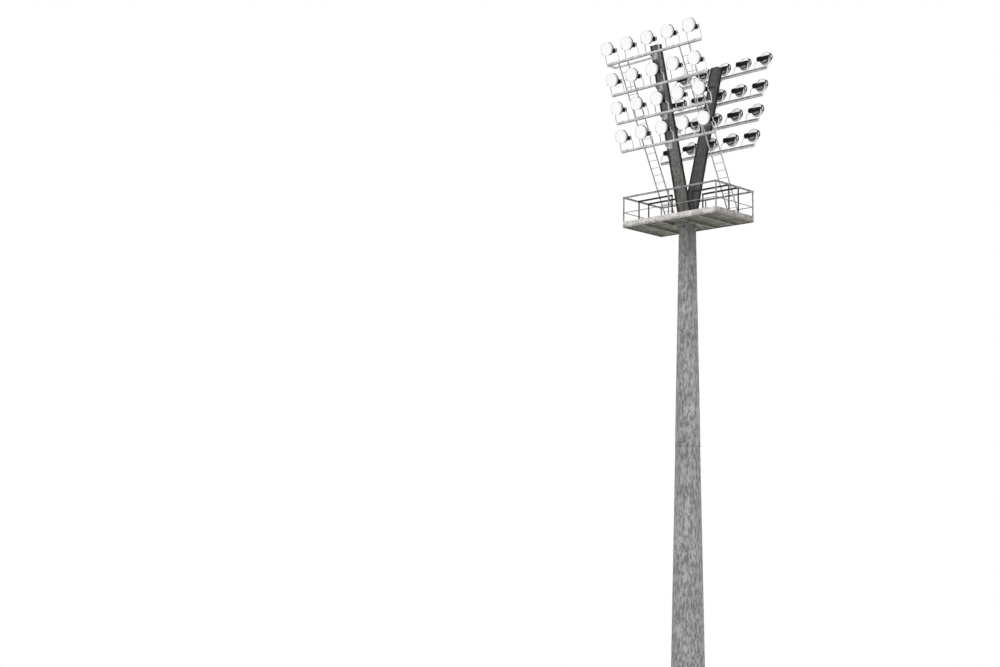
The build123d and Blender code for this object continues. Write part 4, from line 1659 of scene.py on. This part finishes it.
@dataclass
class Floodlights:
    """Fittings of one row's ten floodlights, about each lamp's pivot with the light along -Y."""

    row: int
    black: Finish = BLACK_CASTING
    zinc: Finish = BOLT_ZINC
    rim_radius: float = 0.262
    reach: float = 0.29
    lip: Outline = (
        (-0.014, -0.004),
        (0.002, -0.004),
        (0.006, 0.002),
        (0.006, 0.01),
        (-0.002, 0.012),
        (-0.014, 0.001),
    )
    shoulder: Pair = (0.242, -0.125)
    hoop: Outline = (
        (-0.002, -0.046),
        (0.004, -0.046),
        (0.009, -0.034),
        (0.009, -0.006),
        (0.003, 0.006),
        (-0.008, 0.006),
    )
    catch: Triple = (0.012, 0.03, 0.05)
    catch_angle: float = math.radians(-62)
    catch_out: float = 0.012
    rings: tuple[Triple, ...] = ((0.158, -0.09, 0.007), (0.096, -0.0753, 0.006))
    ring_angles: tuple[float, ...] = (-1.9, -0.9, 0.1, 1.1, 2.0)
    latches: int = 4
    latch: Triple = (0.014, 0.046, 0.034)
    latch_spot: Pair = (0.005, 0.02)
    tail: Triple = (0.01, 0.06, 0.018)
    tail_spot: Pair = (-0.01, 0.06)
    tail_turn: float = 9.0
    box_half: float = 0.075
    box_ends: Pair = (0.066, 0.2387)
    lid_margin: float = 0.03
    lid_thick: float = 0.008
    ribs: int = 5
    rib_pitch: float = 0.0285
    back_rib: Triple = (0.007, 0.012, 0.1)
    front_rib: Triple = (0.007, 0.01, 0.1)
    rib_out: Pair = (0.087, 0.079)
    flange: Triple = (0.014, 0.162, 0.162)
    flange_spots: Pair = (0.072, 0.2307)
    flange_round: float = 0.016
    collar: Triple = (0.014, 0.16, 0.11)
    collar_spots: Pair = (-0.304, -0.13)
    collar_round: float = 0.014
    strip: Triple = (0.008, 0.11, 0.008)
    strip_spots: Pair = (-0.24, -0.19)
    strip_up: float = 0.053
    gland: Pair = (0.013, 0.03)
    gland_nut: Pair = (0.017, 0.012)
    gland_back: float = 0.03
    straight_leg: float = -0.32
    bent_leg: float = 0.245
    pivot_bolt: float = 0.022
    pivot_head: float = 0.6
    hook_centre: Pair = (-0.08, 0.03)
    hook_radius: float = 0.1275
    hook_thickness: float = 0.012
    hook_gap: float = 0.0003
    tooth: Triple = (0.01, 0.008, 0.01)
    teeth: int = 19
    first_tooth: float = 50.0
    tooth_pitch: float = 11.0
    yoke_plate: Triple = (0.09, 0.062, 0.006)
    yoke_bolt: float = 0.02
    seat: float = 0.006
    side_bolt: float = 0.012
    side_bolt_out: float = 0.19

    def wear(self, form: Form, places: Sequence[Matrix], what: str, slot: Slot) -> None:
        """Copy a form to its places and make it a piece of this row.

        Args:
            form: The form of one lamp.
            places: Where the copies go.
            what: Name of the piece after the row's.
            slot: Its material slot.
        """
        finishes = {Slot.BOWL: BowlMetal.of_row(self.row), Slot.HOUSING: self.black}
        finish = finishes.get(slot, self.zinc)
        form.repeated(places).piece(f"row_{self.row}_{what}", slot, finish)

    def on_axis(self, angle: float = 0.0) -> Matrix:
        """Return a place on the lamp's own axis at the pivot, turned about it."""
        return at(0, 0, FRAME.lamp_raise) @ Matrix.Rotation(angle, 4, "Y")

    def rims(self, lamps: Sequence[Matrix]) -> None:
        """Make the rolled rim, the clamp band and the pressed rings on the bowl's back.

        Args:
            lamps: Places of the row's lamps.
        """
        axis = self.on_axis() @ at(0, 0, 0, (-90, 0, 0))
        lip = [(self.rim_radius + r, back - self.reach) for r, back in self.lip]
        beads = Form().spun(lip, axis)
        for radius, back, wire in self.rings:
            ring = [
                (radius + wire * math.cos(a), back + wire * math.sin(a)) for a in self.ring_angles
            ]
            beads.spun(ring, axis, 40)
        self.wear(beads, lamps, "bowl_beads", Slot.BOWL)
        radius, middle = self.shoulder
        band = Form().spun([(radius + r, middle + back) for r, back in self.hoop], axis)
        out = self.catch_out
        seat = self.on_axis(self.catch_angle) @ at(radius + out, middle - out, 0)
        band.block(self.catch, seat, CAST)
        self.wear(band, lamps, "bowl_clamp_bands", Slot.HOUSING)

    def rim_clips(self, lamps: Sequence[Matrix]) -> None:
        """Make the spring latches that hold the front glass ring.

        Args:
            lamps: Places of the row's lamps.
        """
        clip = Form()
        for n in range(self.latches):
            turn = self.on_axis(math.tau * (n + 0.5) / self.latches)
            turn = turn @ at(self.rim_radius, -self.reach, 0)
            clip.block(self.latch, turn @ at(*self.latch_spot, 0), CAST, 2)
            clip.block(self.tail, turn @ at(*self.tail_spot, 0, (0, 0, self.tail_turn)), CAST)
        self.wear(clip, lamps, "rim_latches", Slot.BOWL)

    def boxes(self, lamps: Sequence[Matrix]) -> None:
        """Make the gear boxes' lids, ribs, end flanges and cable glands, and the bar's collars.

        Args:
            lamps: Places of the row's lamps.
        """
        box, half, thick = Form(), self.box_half, self.lid_thick
        start, end = self.box_ends
        middle = (start + end) / 2
        long, wide = end - start - self.lid_margin, 2 * half - self.lid_margin
        box.block((long, thick, wide), at(middle, half + thick / 2, 0), CAST, 2)
        box.block((long, wide, thick), at(middle, 0, half + thick / 2), CAST, 2)
        back, front = self.rib_out
        for n in range(self.ribs):
            x = start + self.lid_margin + n * self.rib_pitch
            box.block(self.back_rib, at(x, back, 0), FILED)
            box.block(self.front_rib, at(x, -front, 0), FILED)
        for x in self.flange_spots:
            box.block(self.flange, at(x, 0, 0), self.flange_round)
        for x in self.collar_spots:
            box.block(self.collar, at(x, 0, 0), self.collar_round)
        for x in self.strip_spots:
            box.block(self.strip, at(x, 0, self.strip_up), TURNED)
        gland = at(middle, self.gland_back, -half, (180, 0, 0))
        box.disc(*self.gland_nut, gland, 6, TURNED).disc(*self.gland, gland, 14, CAST)
        self.wear(box, lamps, "gear_box_lids", Slot.HOUSING)

    def yoke_parts(self, level: Sequence[Matrix]) -> None:
        """Make the pivot bolts, the quadrants' teeth and the yoke foot bolts.

        Args:
            level: Places of the pivots without the lamps' dip.
        """
        outside = self.straight_leg - self.hook_thickness - self.hook_gap
        pivot = Form()
        for x, turn in ((self.bent_leg, 90), (outside, -90)):
            pivot.bolt(self.pivot_bolt, at(x, 0, 0, (0, turn, 0)), self.pivot_head)
        self.wear(pivot, level, "pivot_bolts", Slot.LIGHT)
        teeth = Form()
        for n in range(self.teeth):
            degrees = self.first_tooth + n * self.tooth_pitch
            angle = math.radians(degrees)
            y = self.hook_centre[0] + math.cos(angle) * self.hook_radius
            z = self.hook_centre[1] + math.sin(angle) * self.hook_radius
            place = at(outside + self.hook_thickness / 2, y, z, (degrees, 0, 0))
            teeth.block(self.tooth, place)
        self.wear(teeth, level, "quadrant_teeth", Slot.HOUSING)
        thick = self.yoke_plate[2]
        foot = Form().block(self.yoke_plate, at(0, 0, thick / 2))
        foot.bolt(self.yoke_bolt, at(0, 0, thick))
        for side in SIDES:
            foot.bolt(self.side_bolt, at(side * self.side_bolt_out, 0, 0))
        row, seat = FRAME.row(self.row), FRAME.beam_depth / 2 + self.seat
        line = spread(FRAME.lamps, FRAME.lamp_spacing)
        places = both_panels([row @ at(x, 0, seat) for x in line])
        self.wear(foot, places, "yoke_bolts", Slot.LIGHT)

    def build(self) -> None:
        """Make every fitting of the row's floodlights."""
        lamps = FRAME.lamps_of(self.row, FRAME.lamp_dip)
        self.rims(lamps)
        self.rim_clips(lamps)
        self.boxes(lamps)
        self.yoke_parts(FRAME.lamps_of(self.row, 0.0))


@dataclass
class Ladders:
    """Ladders: foot brackets, and the collars where rungs meet stiles."""

    steel: Finish = LADDER_ZINC
    zinc: Finish = BOLT_ZINC
    offset: float = 1.477
    width: float = 0.465
    stile_depth: float = 0.06
    collar: Pair = (0.015, 0.005)
    collar_top: float = 0.012
    collar_inset: float = 0.0215
    pitch: float = 0.305
    first_rung: float = 0.24
    bracket: Triple = (0.006, 0.07, 0.12)
    bracket_foot: Triple = (0.06, 0.07, 0.006)
    bracket_out: float = 0.004
    bracket_back: float = 0.045
    foot_bolt: float = 0.012
    stile_bolt: float = 0.01
    stile_bolt_up: float = 0.085

    def build(self) -> None:
        """Make every fitting of the ladders, in each ladder's own leaning plane."""
        low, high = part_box("ladder_left")
        slope = math.atan2(high.y - low.y - self.stile_depth, high.z - low.z)
        length = (high.z - low.z) / math.cos(slope)
        plane = at(0, high.y, low.z) @ Matrix.Rotation(slope, 4, "X")
        collar, foot = Form(), Form()
        out = self.width / 2 - self.collar_inset
        rungs = int((length - self.first_rung) / self.pitch) + 1
        for n in range(rungs):
            up = self.first_rung + n * self.pitch
            for side in SIDES:
                place = plane @ at(side * out, -self.stile_depth / 2, up, (0, -90 * side, 0))
                collar.disc(*self.collar, place, 12, FILED, self.collar_top)
        places = [at(side * self.offset, 0, 0) for side in SIDES]
        collar.repeated(places).piece("ladder_rung_collars", Slot.LIGHT, self.steel)
        seat = at(0, high.y - self.bracket_back, low.z)
        for side in SIDES:
            corner = seat @ at(side * (self.width / 2 + self.bracket_out), 0, 0)
            thick, _, tall = self.bracket
            wide = side * self.bracket_foot[0] / 2
            foot.block(self.bracket, corner @ at(0, 0, tall / 2))
            foot.block(self.bracket_foot, corner @ at(wide, 0, thick / 2))
            foot.bolt(self.foot_bolt, corner @ at(wide + side * self.bracket_out, 0, thick))
            turn = (0, 90 * side, 0)
            foot.bolt(self.stile_bolt, corner @ at(side * thick / 2, 0, self.stile_bolt_up, turn))
        foot.repeated(places).piece("ladder_foot_brackets", Slot.LIGHT, self.zinc)


@dataclass
class Stage:
    """Floor, sky, light and the camera that took the picture."""

    floor_radius: float = 90.0
    floor_fade: Pair = (16.0, 50.0)
    floor_colour: Colour = (0.86, 0.86, 0.86, 1.0)
    sky_light: float = 0.62
    sun_strength: float = 1.35
    sun_width: float = math.radians(25)
    sun_turn: Triple = (38.0, 0.0, 42.0)
    camera_place: Triple = (30.001, -40.391, 17.28)
    camera_yaw: float = 44.876
    camera_pitch: float = 7.033
    camera_roll: float = 0.950
    focal_pixels: float = 1300.0
    image_width: float = 1000.0
    sensor: float = 36.0
    far_end: float = 500.0

    def floor(self) -> None:
        """Make the pale floor, which turns into the white background away from the pylon."""
        shader = Shader("pale_floor")
        x, y, _ = shader.axes()
        share = ((x * x + y * y) ** 0.5).band(*self.floor_fade) * shader.looked_at()
        white = shader.node("ShaderNodeEmission", {}, {"Color": (1, 1, 1, 1), "Strength": 1.0})
        layers = {0: share, 1: shader.surface.outputs["BSDF"], 2: white.outputs[0]}
        both = shader.node("ShaderNodeMixShader", {}, layers)
        shader.join(shader.output.inputs["Surface"], both.outputs[0])
        form = Form()
        bmesh.ops.create_circle(form.mesh, cap_ends=True, segments=96, radius=self.floor_radius)
        material = shader.feed(Base_Color=self.floor_colour, Roughness=0.9)
        form.thing("floor", material)

    def sky(self) -> None:
        """Light the pylon from a plain sky that the camera sees as white."""
        world = bpy.data.worlds.new("plain_sky")
        world.use_nodes = True
        nodes = Nodes(world.node_tree)
        levels = {"Value": nodes.looked_at(), "To Min": self.sky_light}
        strength = nodes.node("ShaderNodeMapRange", {}, levels).outputs["Result"]
        glow = {"Color": (1, 1, 1, 1), "Strength": strength}
        light = nodes.node("ShaderNodeBackground", {}, glow).outputs[0]
        nodes.node("ShaderNodeOutputWorld", {}, {"Surface": light})
        bpy.context.scene.world = world

    def sun(self) -> None:
        """Add one wide soft light from above and behind the camera."""
        light = bpy.data.lights.new("studio_key", "SUN")
        light.energy = self.sun_strength
        light.angle = self.sun_width
        made = bpy.data.objects.new("studio_key", light)
        made.rotation_euler = [math.radians(angle) for angle in self.sun_turn]
        bpy.context.scene.collection.objects.link(made)

    def camera(self) -> None:
        """Place the camera at the photograph's viewpoint and angle of view."""
        lens = bpy.data.cameras.new("photograph_view")
        lens.sensor_width = self.sensor
        lens.lens = self.focal_pixels / self.image_width * self.sensor
        lens.clip_end = self.far_end
        made = bpy.data.objects.new("photograph_view", lens)
        roll = at(0, 0, 0, (0, 0, self.camera_roll))
        aim = at(*self.camera_place, (90 + self.camera_pitch, 0, self.camera_yaw))
        made.matrix_world = aim @ roll
        bpy.context.scene.collection.objects.link(made)
        bpy.context.scene.camera = made

    def build(self) -> None:
        """Make the whole stage."""
        self.floor()
        self.sky()
        self.sun()
        self.camera()
        bpy.context.scene.view_settings.view_transform = "Standard"


def main() -> None:
    """Load the frame, dress it, add its fittings and set the stage."""
    logging.basicConfig(level=logging.INFO, format="%(message)s")
    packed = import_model()
    Wardrobe().dress(packed["nodes"])
    Foundation().build()
    Mast().build()
    Platform().build()
    Arms().build()
    RowBeams().build()
    for row in range(1, len(FRAME.row_rises) + 1):
        Floodlights(row).build()
    Ladders().build()
    Stage().build()


if __name__ == "__main__":
    main()
